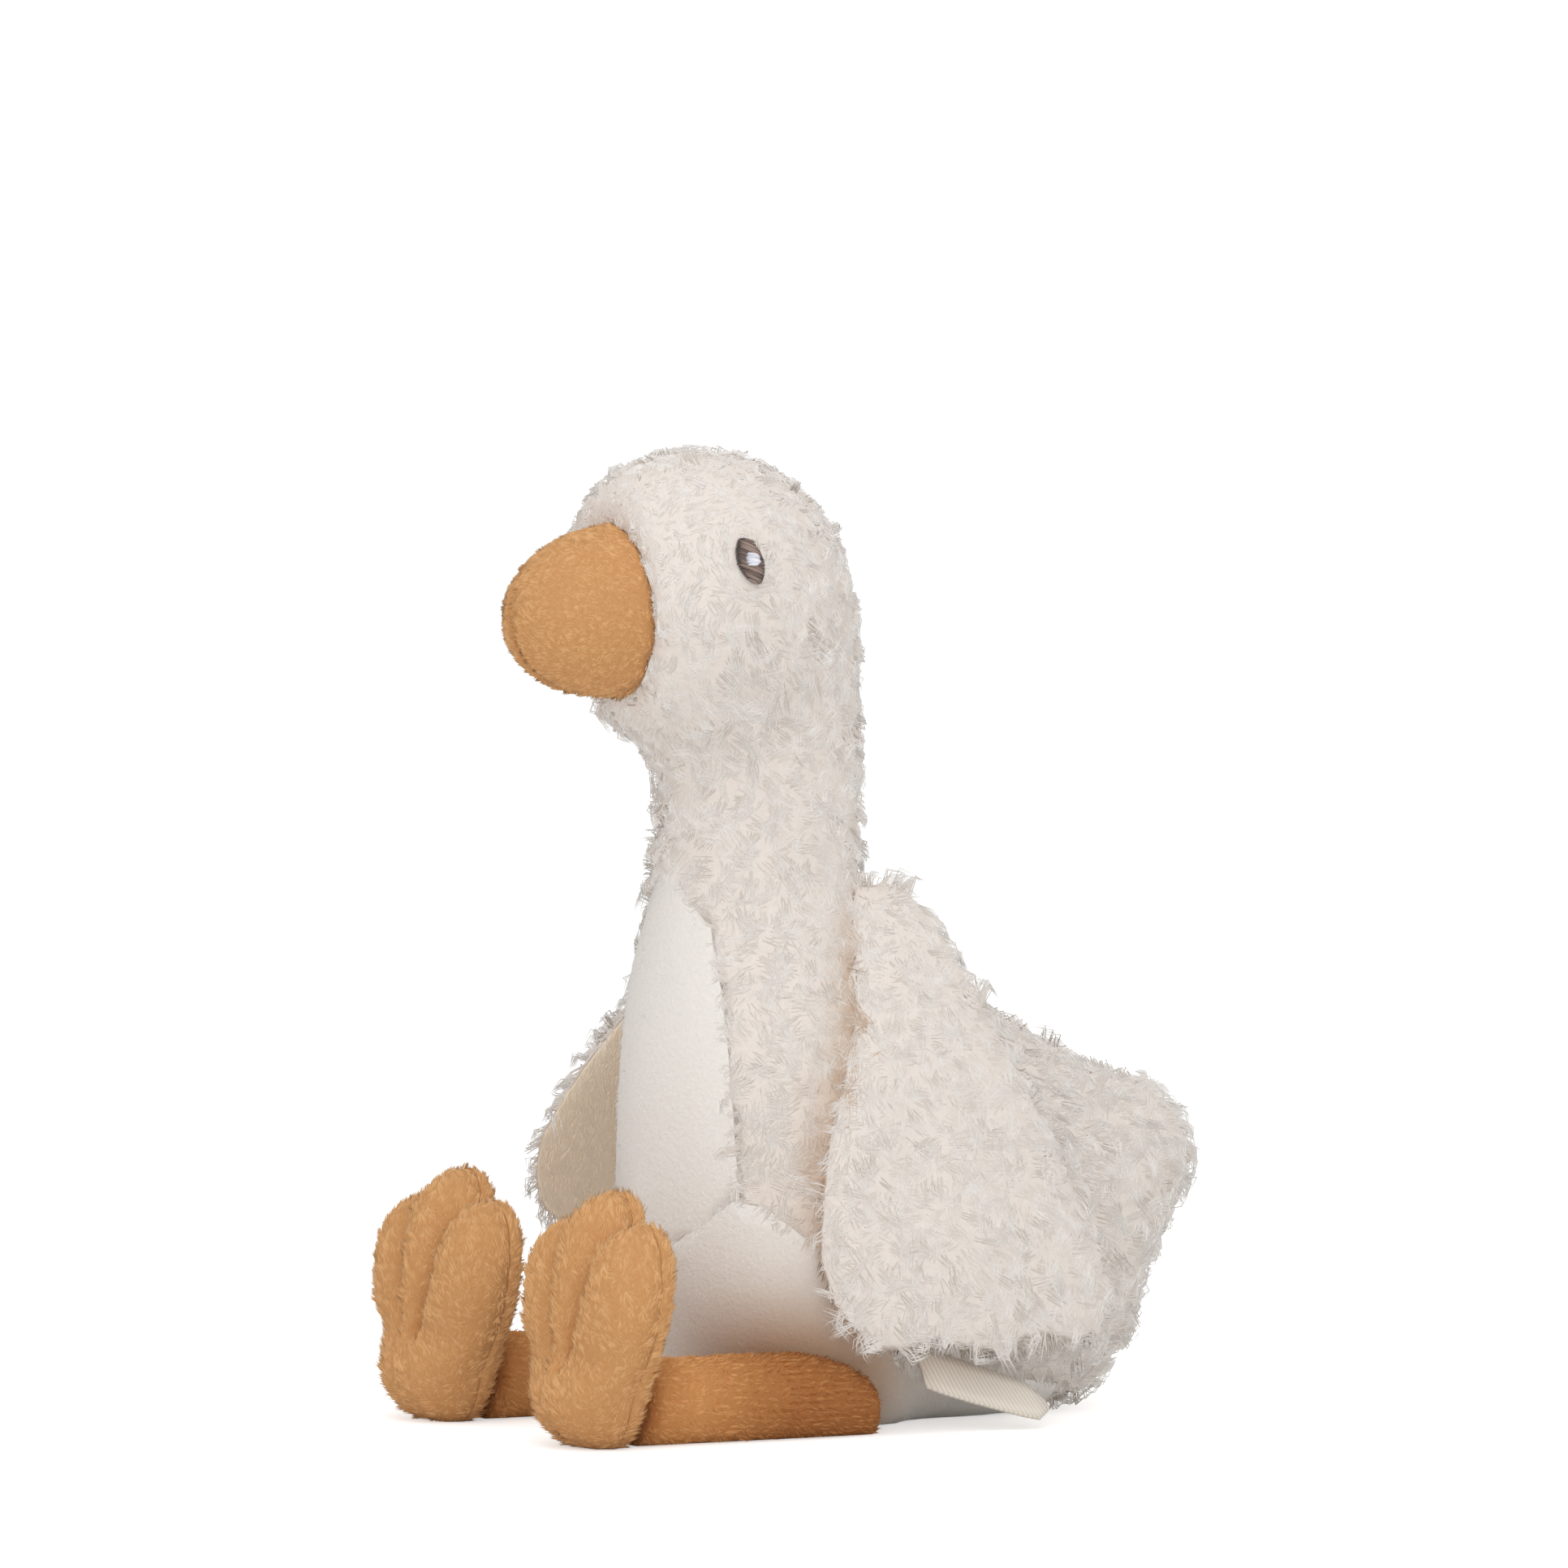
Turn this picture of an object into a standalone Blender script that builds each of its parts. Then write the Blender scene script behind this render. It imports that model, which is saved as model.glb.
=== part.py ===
"""A sitting plush goose: stuffed body with neck, head and tail, belly and seat panels,
beak, embroidered eyes, padded wings, tube legs, webbed feet and a bare ribbon label.

The goose faces -Y, +Z is up and +X is its left. The origin is the middle of its flat seat.
All sizes are in metres.
"""

import math

import bmesh
import bpy
import numpy as np

# Fit between sewn pieces, which keep this much air
SEAM_GAP = 0.0003

# Trunk: a stuffed upright form, wide at the belly and drawn in at the shoulders
BELLY_HALF_WIDTH = 0.0345
CHEST_REACH = 0.0325
TRUNK_BACK_REACH = 0.030
BELLY_HEIGHT = 0.045
SHOULDER_HEIGHT = 0.105
SEAT_SINK = 0.003

# Neck and head
NECK_HALF_WIDTH = 0.0180
NECK_HALF_DEPTH = 0.0196
NECK_OFFSET = -0.0042
HEAD_HEIGHT = 0.1630
HEAD_OFFSET = -0.0187
HEAD_HALF_WIDTH = 0.0285
HEAD_HALF_DEPTH = 0.0312
HEAD_HALF_HEIGHT = 0.0310

# Tail: a wide stub that reaches back and a little up
TAIL_REACH = 0.0890
TAIL_TIP_HEIGHT = 0.0500
TAIL_TIP_HALF_HEIGHT = 0.0165
TAIL_TIP_HALF_WIDTH = 0.0150
RUMP_TOP = 0.0860
RUMP_HALF_WIDTH = 0.0290

# The skin's facets and how much it is relaxed
SKIN_FACET = 0.0054
SKIN_RELAX_STEPS = 3

# Panels of smooth plush let into the curly skin
PANEL_THICKNESS = 0.0018
BELLY_PANEL_TOP = 0.112
BELLY_PANEL_HALF_WIDTH = 0.0255
SEAT_SEAM_FRONT_HEIGHT = 0.033
SEAT_SEAM_THIGH_HEIGHT = 0.046
SEAT_SEAM_SIDE_HEIGHT = 0.0125
SEAT_SEAM_BACK_HEIGHT = 0.006

# Beak: a stuffed cone with a blunt tip and one seam down its middle
BEAK_BASE = -0.0350
BEAK_LENGTH = 0.0250
BEAK_BELOW_HEAD = 0.0005
BEAK_HALF_WIDTH = 0.0172
BEAK_HALF_HEIGHT = 0.0172
BEAK_DROOP = 0.0015
BEAK_SEAM_DEPTH = 0.0015
BEAK_SEAM_HALF_WIDTH = 0.0009
BEAK_TUCK = 0.0080

# Eyes: an upright almond of satin stitch with a round glint
EYE_HEIGHT = 0.0092
EYE_WIDTH = 0.0052
EYE_ABOVE_HEAD = 0.0100
EYE_SET_FORWARD = 0.0020
EYE_LEAN = math.radians(12)
EYE_THICKNESS = 0.0011
GLINT_DIAMETER = 0.0026
GLINT_RAISE = 0.0004
GLINT_THICKNESS = 0.0007

# Heights that follow the head
BEAK_LEVEL = HEAD_HEIGHT - BEAK_BELOW_HEAD
EYE_LEVEL = HEAD_HEIGHT + EYE_ABOVE_HEAD

# Legs: stuffed tubes that lie along the belly
LEG_SPREAD = 0.0325
LEG_HALF_WIDTH = 0.0088
LEG_HALF_HEIGHT = 0.0086
LEG_HIP = 0.0025
HIP_HALF_HEIGHT = 0.0055
FLOOR_SINK = 0.0005

# Feet: padded webbed feet that stand up at the ends of the legs
FOOT_FORWARD = -0.0570
FOOT_LEAN = 0.0045
FOOT_TOE_HALF_WIDTH = 0.0224
FOOT_HEEL_HALF_WIDTH = 0.0130
MIDDLE_TOE_HEIGHT = 0.0500
SIDE_TOE_HEIGHT = 0.0435
TOE_NOTCH_DEPTH = 0.0062
SOLE_THICKNESS = 0.0114
UPPER_THICKNESS = 0.0058
HEEL_SHARE = 0.38
TOE_CREASE_FLOOR = 0.34

# Wings: fans of three padded feathers, sewn on at the shoulder
WING_ROOT_HEIGHT = 0.1070
WING_ROOT_HALF_WIDTH = 0.0036
WING_ROOT_BACK = 0.0150
WING_ROOT_SIDE = 0.0125
WING_LENGTH = 0.0960
WING_FRONT_FAN = 0.0270
WING_BACK_FAN = 0.0465
FEATHER_COUNT = 3
FEATHER_SCALLOP = 0.0050
WING_PADDING = 0.0048
LINING_THICKNESS = 0.0022
WING_CHANNEL = 0.45
WING_WRAP = 0.0090
LEFT_WING_FLARE = math.radians(28)
LEFT_WING_SWING = 0.0
RIGHT_WING_FLARE = math.radians(60)
RIGHT_WING_SWING = 0.0120

# Ribbon label, sewn in the side seam of the seat
LABEL_LENGTH = 0.0270
LABEL_WIDTH = 0.0105
LABEL_THICKNESS = 0.0008
LABEL_CORNER = 0.0040
LABEL_START = (0.0330, 0.0140, 0.0130)
LABEL_DROOP = 0.0085
LABEL_OUTWARD = 0.0060

# Cutter sizes, larger than anything that they cut
REACH = 0.30

CREAM_CURL = (0.80, 0.72, 0.64)
CREAM_SMOOTH = (0.78, 0.72, 0.66)
ORANGE_NAP = (0.60, 0.29, 0.10)
BROWN_THREAD = (0.16, 0.09, 0.07)
WHITE_THREAD = (0.85, 0.85, 0.88)
ECRU_RIBBON = (0.72, 0.65, 0.56)


def clear_scene():
    for old in list(bpy.data.objects):
        bpy.data.objects.remove(old, do_unlink=True)


def fabric(name, colour, roughness):
    material = bpy.data.materials.new(name)
    material.use_nodes = True
    shader = material.node_tree.nodes["Principled BSDF"]
    shader.inputs["Base Color"].default_value = (*colour, 1.0)
    shader.inputs["Roughness"].default_value = roughness
    shader.inputs["Metallic"].default_value = 0.0
    return material


def object_from(name, bm, material=None):
    """Closes the books on a bmesh: faces out, smooth shading, one named object."""
    bmesh.ops.recalc_face_normals(bm, faces=bm.faces)
    mesh = bpy.data.meshes.new(name)
    bm.to_mesh(mesh)
    bm.free()
    mesh.shade_smooth()
    made = bpy.data.objects.new(name, mesh)
    bpy.context.scene.collection.objects.link(made)
    if material:
        mesh.materials.append(material)
    return made


def loft(rings):
    """A closed bmesh through rings of points, with a fan of faces at each end."""
    bm = bmesh.new()
    rows = [[bm.verts.new(point) for point in ring] for ring in rings]
    around = len(rows[0])
    for low, high in zip(rows, rows[1:]):
        for i in range(around):
            j = (i + 1) % around
            bm.faces.new((low[i], low[j], high[j], high[i]))
    for row in (rows[0], rows[-1]):
        centre = bm.verts.new(np.mean([vertex.co for vertex in row], axis=0))
        for i in range(around):
            bm.faces.new((row[i], row[(i + 1) % around], centre))
    return bm


def pad(near, far):
    """A closed bmesh between two grids of points that share their rim."""
    bm = bmesh.new()
    for grid in (near, far):
        rows = [[bm.verts.new(point) for point in row] for row in grid]
        for low, high in zip(rows, rows[1:]):
            for i in range(len(low) - 1):
                bm.faces.new((low[i], low[i + 1], high[i + 1], high[i]))
    bmesh.ops.remove_doubles(bm, verts=bm.verts, dist=1e-6)
    bmesh.ops.dissolve_degenerate(bm, edges=bm.edges, dist=1e-7)
    return bm


def prism(outline, axis):
    """A closed bmesh: an outline in the two other axes, carried along this one."""
    bm = bmesh.new()
    low, high = [], []
    for first, second in outline:
        for side, ring in ((-REACH, low), (REACH, high)):
            point = [first, second]
            point.insert(axis, side)
            ring.append(bm.verts.new(point))
    bm.faces.new(low)
    bm.faces.new(high)
    for i in range(len(low)):
        j = (i + 1) % len(low)
        bm.faces.new((low[i], low[j], high[j], high[i]))
    return bm


def guide(made):
    """Marks an object that only shapes others."""
    made.hide_render = True
    made.display_type = "WIRE"
    return made


def boolean(made, operation, cutter):
    modifier = made.modifiers.new(f"{operation.lower()}_{cutter.name}", "BOOLEAN")
    modifier.operation = operation
    modifier.object = cutter
    return made


def ellipse_ring(centre, across, upward, half_across, half_upward, count):
    """Points of an ellipse around a centre, in the plane of two unit directions."""
    turn = np.linspace(0, 2 * math.pi, count, endpoint=False)[:, None]
    return (
        np.asarray(centre)
        + np.cos(turn) * half_across * np.asarray(across)
        + np.sin(turn) * half_upward * np.asarray(upward)
    )


def egg_ring(height, front, back, half_width, count=32):
    """A level ring, half an ellipse to the front and half to the back."""
    turn = np.linspace(0, 2 * math.pi, count, endpoint=False)
    widest = (front + back) / 2
    return np.stack(
        [
            half_width * np.cos(turn),
            widest + np.where(np.sin(turn) > 0, back - widest, widest - front) * np.sin(turn),
            np.full(count, height),
        ],
        axis=1,
    )


def trunk_rings():
    """Rings from under the seat to the middle of the head."""
    neck_front = NECK_OFFSET - NECK_HALF_DEPTH
    neck_back = NECK_OFFSET + NECK_HALF_DEPTH
    # share of shoulder height, share of chest reach, share of back reach, share of width
    belly = (
        (-SEAT_SINK / SHOULDER_HEIGHT, 0.62, 0.80, 0.60),
        (0.045, 0.80, 0.98, 0.78),
        (0.14, 0.93, 1.10, 0.93),
        (0.28, 1.00, 1.20, 1.00),
        (BELLY_HEIGHT / SHOULDER_HEIGHT, 1.00, 1.25, 1.00),
        (0.57, 0.99, 1.15, 0.96),
        (0.70, 0.98, 1.00, 0.87),
        (0.82, 0.95, 0.80, 0.76),
        (0.91, 0.89, 0.64, 0.67),
    )
    rings = [
        egg_ring(
            share * SHOULDER_HEIGHT,
            -front * CHEST_REACH,
            back * TRUNK_BACK_REACH,
            width * BELLY_HALF_WIDTH,
        )
        for share, front, back, width in belly
    ]
    for share in np.linspace(0, 1, 6):
        height = SHOULDER_HEIGHT + share * (HEAD_HEIGHT - SHOULDER_HEIGHT)
        chest = 0.0028 * max(0.0, 1 - 3 * share)
        rings.append(egg_ring(height, neck_front - chest, neck_back, NECK_HALF_WIDTH + chest / 2))
    return rings


def drawn_in_at_beak(ring):
    """Moves a ring's front points back, so that the face meets the beak's seam in a shallow dish."""
    away = np.hypot(ring[:, 0], ring[:, 2] - BEAK_LEVEL)
    dish = BEAK_BASE - 1.6 * np.maximum(away - BEAK_HALF_WIDTH, 0.0)
    ring[:, 1] = np.maximum(ring[:, 1], dish)
    return ring


def head_rings():
    """Level rings of an egg-shaped head whose jaw is drawn back."""
    rings = []
    for tilt in np.linspace(-0.97, 0.97, 15) * math.pi / 2:
        level, spread = math.sin(tilt), math.cos(tilt)
        jaw = 0.16 * max(0.0, -level)
        ring = egg_ring(
            HEAD_HEIGHT + HEAD_HALF_HEIGHT * level,
            HEAD_OFFSET - HEAD_HALF_DEPTH * (spread - jaw),
            HEAD_OFFSET + HEAD_HALF_DEPTH * spread,
            HEAD_HALF_WIDTH * spread,
            48,
        )
        rings.append(drawn_in_at_beak(ring))
    return rings


def tail_rings():
    """Upright rings from inside the trunk to the tip of the tail."""
    tip_top = TAIL_TIP_HEIGHT + TAIL_TIP_HALF_HEIGHT
    tip_low = TAIL_TIP_HEIGHT - TAIL_TIP_HALF_HEIGHT
    # share of reach, top height, low height, half width
    stations = (
        (0.10, 0.92 * RUMP_TOP, 0.05 * RUMP_TOP, 0.70 * RUMP_HALF_WIDTH),
        (0.30, 1.02 * RUMP_TOP, -SEAT_SINK, RUMP_HALF_WIDTH),
        (0.44, 0.975 * RUMP_TOP, -SEAT_SINK, RUMP_HALF_WIDTH),
        (0.56, 0.905 * RUMP_TOP, -0.8 * SEAT_SINK, 0.94 * RUMP_HALF_WIDTH),
        (0.67, 0.84 * RUMP_TOP, 0.01 * RUMP_TOP, 0.86 * RUMP_HALF_WIDTH),
        (0.78, 1.02 * tip_top, 0.05 * RUMP_TOP, 1.45 * TAIL_TIP_HALF_WIDTH),
        (0.85, 1.005 * tip_top, 0.70 * tip_low, 1.25 * TAIL_TIP_HALF_WIDTH),
        (0.905, 0.985 * tip_top, 1.00 * tip_low, 1.08 * TAIL_TIP_HALF_WIDTH),
        (0.955, 0.95 * tip_top, 1.15 * tip_low, 0.92 * TAIL_TIP_HALF_WIDTH),
        (0.99, 0.89 * tip_top, 1.28 * tip_low, 0.62 * TAIL_TIP_HALF_WIDTH),
        (1.01, 0.82 * tip_top, 1.42 * tip_low, 0.32 * TAIL_TIP_HALF_WIDTH),
    )
    return [
        ellipse_ring(
            (0, share * TAIL_REACH, (top + low) / 2), (1, 0, 0), (0, 0, 1), half_width, (top - low) / 2, 32
        )
        for share, top, low, half_width in stations
    ]


def stuffed_skin():
    """The whole stuffed form as one relaxed mesh, flat where it sits."""
    whole = bmesh.new()
    for rings in (trunk_rings(), head_rings(), tail_rings()):
        part = loft(rings)
        bmesh.ops.recalc_face_normals(part, faces=part.faces)
        scratch = bpy.data.meshes.new("scratch")
        part.to_mesh(scratch)
        part.free()
        whole.from_mesh(scratch)
        bpy.data.meshes.remove(scratch)
    mesh = bpy.data.meshes.new("skin")
    whole.to_mesh(mesh)
    whole.free()
    skin = bpy.data.objects.new("skin", mesh)
    bpy.context.scene.collection.objects.link(skin)
    remesh = skin.modifiers.new("one_surface", "REMESH")
    remesh.mode = "VOXEL"
    remesh.voxel_size = SKIN_FACET
    relax = skin.modifiers.new("relax", "SMOOTH")
    relax.factor = 0.5
    relax.iterations = SKIN_RELAX_STEPS
    return seated(settled(skin))


def seated(skin):
    """Presses the skin flat where it goes below the floor, and merges the points this crowds."""
    bm = bmesh.new()
    bm.from_mesh(skin.data)
    for vertex in bm.verts:
        vertex.co.z = max(vertex.co.z, 0.0)
    flat = [vertex for vertex in bm.verts if vertex.co.z < 1e-7]
    bmesh.ops.remove_doubles(bm, verts=flat, dist=0.4 * SKIN_FACET)
    bmesh.ops.triangulate(bm, faces=bm.faces)
    bm.to_mesh(skin.data)
    bm.free()
    return skin


def settled(made):
    """Replaces an object's mesh by what its modifiers make of it."""
    graph = bpy.context.evaluated_depsgraph_get()
    mesh = bpy.data.meshes.new_from_object(made.evaluated_get(graph))
    made.modifiers.clear()
    made.data = mesh
    return made


def skin_copy(skin, name, offset=0.0, material=None):
    """The skin again, its surface moved outwards by an offset."""
    mesh = skin.data.copy()
    mesh.name = name
    mesh.materials.clear()
    made = bpy.data.objects.new(name, mesh)
    bpy.context.scene.collection.objects.link(made)
    if offset:
        normals = np.empty(len(mesh.vertices) * 3)
        places = np.empty(len(mesh.vertices) * 3)
        mesh.vertices.foreach_get("co", places)
        mesh.vertices.foreach_get("normal", normals)
        mesh.vertices.foreach_set("co", places + offset * normals)
    if material:
        mesh.materials.append(material)
    return made


def belly_outline(grow):
    """The belly panel's edge seen from the front, as (x, z), a tall leaf."""
    side = []
    for share in np.linspace(0, 1, 9):
        height = SEAT_SEAM_FRONT_HEIGHT - 0.02 + share * (BELLY_PANEL_TOP + 0.02 - SEAT_SEAM_FRONT_HEIGHT)
        width = BELLY_PANEL_HALF_WIDTH * math.sqrt(1 - share**3) * (1 - 0.12 * share)
        side.append((width + grow, height + grow * share))
    return side + [(-x, z) for x, z in reversed(side[:-1])]


def seat_outline(grow):
    """The seat panel's edge seen from the side, as (y, z), with a rise at the thigh."""
    thigh = -0.70 * CHEST_REACH
    return [
        (-REACH, -0.02),
        (-REACH, SEAT_SEAM_FRONT_HEIGHT + grow),
        (-1.02 * CHEST_REACH, SEAT_SEAM_FRONT_HEIGHT + grow),
        (1.12 * thigh, 0.93 * SEAT_SEAM_THIGH_HEIGHT + grow),
        (thigh, SEAT_SEAM_THIGH_HEIGHT + grow),
        (0.80 * thigh, 0.98 * SEAT_SEAM_THIGH_HEIGHT + grow),
        (0.37 * thigh, 0.80 * SEAT_SEAM_THIGH_HEIGHT + grow),
        (0.0, 0.55 * SEAT_SEAM_THIGH_HEIGHT + grow),
        (LABEL_START[1], SEAT_SEAM_SIDE_HEIGHT + grow),
        (0.62 * TAIL_REACH + grow, SEAT_SEAM_BACK_HEIGHT + grow),
        (0.62 * TAIL_REACH + grow, -0.02),
    ]


def front_half(outline_object):
    """Keeps a prism along Y to the goose's front."""
    for vertex in outline_object.data.vertices:
        vertex.co.y = min(vertex.co.y, 0.0)
    return outline_object


def make_body_and_panels(skin, curl, smooth):
    """The curly body with two shallow beds, and the belly and seat panels that fill them."""
    seat_zone = guide(object_from("seat_zone", prism(seat_outline(0.0), 0)))
    seat_bed_zone = guide(object_from("seat_bed_zone", prism(seat_outline(SEAM_GAP), 0)))
    belly_zone = guide(front_half(object_from("belly_zone", prism(belly_outline(0.0), 1))))
    belly_bed_zone = guide(front_half(object_from("belly_bed_zone", prism(belly_outline(SEAM_GAP), 1))))
    under_panels = guide(skin_copy(skin, "under_panels", -PANEL_THICKNESS))
    under_beds = guide(skin_copy(skin, "under_beds", -PANEL_THICKNESS - SEAM_GAP))

    seat = skin_copy(skin, "seat_panel", 0.0, smooth)
    boolean(seat, "INTERSECT", seat_zone)
    boolean(seat, "DIFFERENCE", under_panels)

    belly = skin_copy(skin, "belly_panel", 0.0, smooth)
    boolean(belly, "INTERSECT", belly_zone)
    boolean(belly, "DIFFERENCE", seat_bed_zone)
    boolean(belly, "DIFFERENCE", under_panels)

    body = skin_copy(skin, "body", 0.0, curl)
    boolean(body, "DIFFERENCE", seat_bed_zone)
    boolean(body, "DIFFERENCE", belly_bed_zone)
    boolean(body, "UNION", under_beds)


def make_beak(clearance, nap):
    """Rings along -Y: full at the base, blunt at the tip, with the seam pressed in below and in front."""
    # share of length, share of full size
    profile = (
        (-BEAK_TUCK / BEAK_LENGTH, 0.93),
        (0.0, 1.0),
        (0.15, 0.99),
        (0.30, 0.96),
        (0.45, 0.91),
        (0.58, 0.835),
        (0.70, 0.735),
        (0.80, 0.625),
        (0.88, 0.50),
        (0.94, 0.365),
        (0.98, 0.22),
        (1.0, 0.08),
    )
    count = 36
    even = np.linspace(0, 2 * math.pi, count, endpoint=False)
    turn = even + 0.30 * np.sin(2 * even)
    core = np.array([0, BEAK_BASE - 0.35 * BEAK_LENGTH, BEAK_LEVEL])
    rings = []
    for share, size in profile:
        forward = max(0.0, share)
        x = BEAK_HALF_WIDTH * size * np.cos(turn)
        z = BEAK_LEVEL - BEAK_DROOP * forward + BEAK_HALF_HEIGHT * size * np.sin(turn)
        ring = np.stack([x, np.full(count, BEAK_BASE - share * BEAK_LENGTH), z], axis=1)
        below = np.clip((BEAK_LEVEL + 0.15 * BEAK_HALF_HEIGHT - z) / (0.12 * BEAK_HALF_HEIGHT), 0, 1)
        pressed = BEAK_SEAM_DEPTH * np.exp(-((x / BEAK_SEAM_HALF_WIDTH) ** 2)) * below * min(1.0, forward * 5)
        inward = core - ring
        ring += pressed[:, None] * inward / np.linalg.norm(inward, axis=1, keepdims=True)
        rings.append(ring)
    beak = object_from("beak", loft(rings), nap)
    return boolean(beak, "DIFFERENCE", clearance)


def eye_prism(name, half_height, half_width, raise_by, pointed):
    """A prism along X with an almond or round outline, at the eye's place."""
    turn = np.linspace(0, 2 * math.pi, 24, endpoint=False)
    along = half_height * np.cos(turn)
    across = half_width * np.sin(turn) * (1 - pointed * np.cos(turn) ** 2)
    lean = math.cos(EYE_LEAN), math.sin(EYE_LEAN)
    y = HEAD_OFFSET - EYE_SET_FORWARD + across * lean[0] - along * lean[1]
    z = EYE_LEVEL + raise_by + along * lean[0] + across * lean[1]
    return guide(object_from(name, prism(list(zip(y, z)), 0)))


def one_side(made, side):
    """Keeps a prism along X to one side of the goose."""
    for vertex in made.data.vertices:
        vertex.co.x = side * max(side * vertex.co.x, 0.0)
    return made


def make_eyes(skin, brown, white):
    """Thin raised almonds on both sides of the head, each with a round glint on top."""
    seat_of_eye = guide(skin_copy(skin, "seat_of_eye", SEAM_GAP))
    eye_top = SEAM_GAP + EYE_THICKNESS
    seat_of_glint = guide(skin_copy(skin, "seat_of_glint", eye_top + SEAM_GAP))
    for side, word in ((1, "left"), (-1, "right")):
        almond = one_side(eye_prism(f"almond_{word}", EYE_HEIGHT / 2, EYE_WIDTH / 2, 0.0, 0.25), side)
        eye = skin_copy(skin, f"eye_{word}", eye_top, brown)
        boolean(eye, "INTERSECT", almond)
        boolean(eye, "DIFFERENCE", seat_of_eye)
        radius = GLINT_DIAMETER / 2
        dot = one_side(eye_prism(f"dot_{word}", radius, radius, GLINT_RAISE, 0.0), side)
        glint = skin_copy(skin, f"eye_glint_{word}", eye_top + SEAM_GAP + GLINT_THICKNESS, white)
        boolean(glint, "INTERSECT", dot)
        boolean(glint, "DIFFERENCE", seat_of_glint)


def make_leg(side, word, clearance, floor, nap):
    """A tube from the hip, where it is flattened into the seam, to the back of the foot."""
    foot_lean = FOOT_LEAN * (2 * LEG_HALF_HEIGHT / MIDDLE_TOE_HEIGHT) ** 2
    toe_end = FOOT_FORWARD + foot_lean + UPPER_THICKNESS + SEAM_GAP
    length = LEG_HIP - toe_end
    # share of length, share of half width, share of the way from hip to full height
    stations = (
        (0.0, 0.62, 0.0),
        (0.05, 0.80, 0.25),
        (0.14, 0.92, 0.65),
        (0.30, 1.0, 0.95),
        (0.55, 1.0, 1.0),
        (0.80, 1.0, 1.0),
        (0.93, 1.02, 1.0),
        (1.0, 0.95, 0.93),
    )
    rings = []
    for share, width, fullness in stations:
        half_height = HIP_HALF_HEIGHT + (LEG_HALF_HEIGHT - HIP_HALF_HEIGHT) * fullness
        centre = (side * LEG_SPREAD, LEG_HIP - share * length, half_height - FLOOR_SINK)
        rings.append(ellipse_ring(centre, (1, 0, 0), (0, 0, 1), LEG_HALF_WIDTH * width, half_height, 18))
    leg = object_from(f"leg_{word}", loft(rings), nap)
    boolean(leg, "DIFFERENCE", clearance)
    boolean(leg, "DIFFERENCE", floor)
    return leg


def closer_at_ends(count):
    """Numbers from 0 to 1 that crowd towards both ends, so that a padded rim comes out round."""
    return (1 - np.cos(math.pi * np.linspace(0, 1, count))) / 2


def foot_form(toe_columns=9, rows=17):
    """The foot as arrays: its flat middle surface and how far it swells.

    A third of the columns follow each toe. The creases between the toes start together above the
    heel and part towards the tips, and each toe swells like a half circle between its creases.
    """
    up = closer_at_ends(rows)[:, None]
    toe = closer_at_ends(toe_columns)[None, :]
    crease = 0.10 + 0.27 * np.clip((up - HEEL_SHARE) / (1 - HEEL_SHARE), 0, 1) ** 0.8
    inner_side = -1 + toe * (1 - crease)
    middle = (2 * toe - 1) * crease
    across = np.concatenate([inner_side[:, :-1], middle, -inner_side[:, -2::-1]], axis=1)
    round_toe = np.sqrt(np.clip(1 - (2 * toe - 1) ** 2, 0, 1))
    ridge = np.concatenate([round_toe[:, :-1], round_toe, round_toe[:, -2::-1]], axis=1)
    tips = SIDE_TOE_HEIGHT + (MIDDLE_TOE_HEIGHT - SIDE_TOE_HEIGHT) * np.exp(-((across / 0.44) ** 2))
    notch = TOE_NOTCH_DEPTH * (1 - ridge) * (np.abs(across) < 0.9)
    top = tips - notch - 0.24 * SIDE_TOE_HEIGHT * np.abs(across) ** 9
    low = 0.22 * SIDE_TOE_HEIGHT * across**4 - FLOOR_SINK
    z = low + up * (top - low)
    spread = np.sin(0.5 * math.pi * np.clip(up / 0.80, 0, 1)) ** 1.2
    x = across * (FOOT_HEEL_HALF_WIDTH + (FOOT_TOE_HALF_WIDTH - FOOT_HEEL_HALF_WIDTH) * spread)
    whole = np.sqrt(np.clip(1 - across**2, 0, 1))
    fanned = ridge * (1 - TOE_CREASE_FLOOR) + TOE_CREASE_FLOOR * whole
    toes = np.clip((up - HEEL_SHARE + 0.06) / 0.16, 0, 1)
    rim = np.sqrt(np.clip(1 - np.abs(2 * up - 1) ** 5, 0, 1))
    return x, z, up, (whole * (1 - toes) + fanned * toes) * rim


def make_foot(side, word, clearance, floor, nap):
    """The sole faces forward, the upper faces the leg. Toes part in creases above a round heel."""
    x, z, up, swell = foot_form()
    y = FOOT_FORWARD + FOOT_LEAN * (z / MIDDLE_TOE_HEIGHT) ** 2
    heel = 1 + 0.16 * np.exp(-(((up - 0.20) / 0.15) ** 2)) - 0.16 * np.exp(-(((up - HEEL_SHARE) / 0.07) ** 2))
    middle = np.stack([side * LEG_SPREAD + x, y, z], axis=2)
    for name, direction, thickness in (("sole", -1, SOLE_THICKNESS), ("upper", 1, UPPER_THICKNESS)):
        full = thickness * swell * (heel if direction < 0 else 1)
        start = middle + (0, direction * SEAM_GAP / 2, 0)
        outer = start.copy()
        outer[:, :, 1] += direction * full
        made = object_from(f"foot_{name}_{word}", pad(start, outer), nap)
        boolean(made, "DIFFERENCE", clearance)
        boolean(made, "DIFFERENCE", floor)


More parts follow.
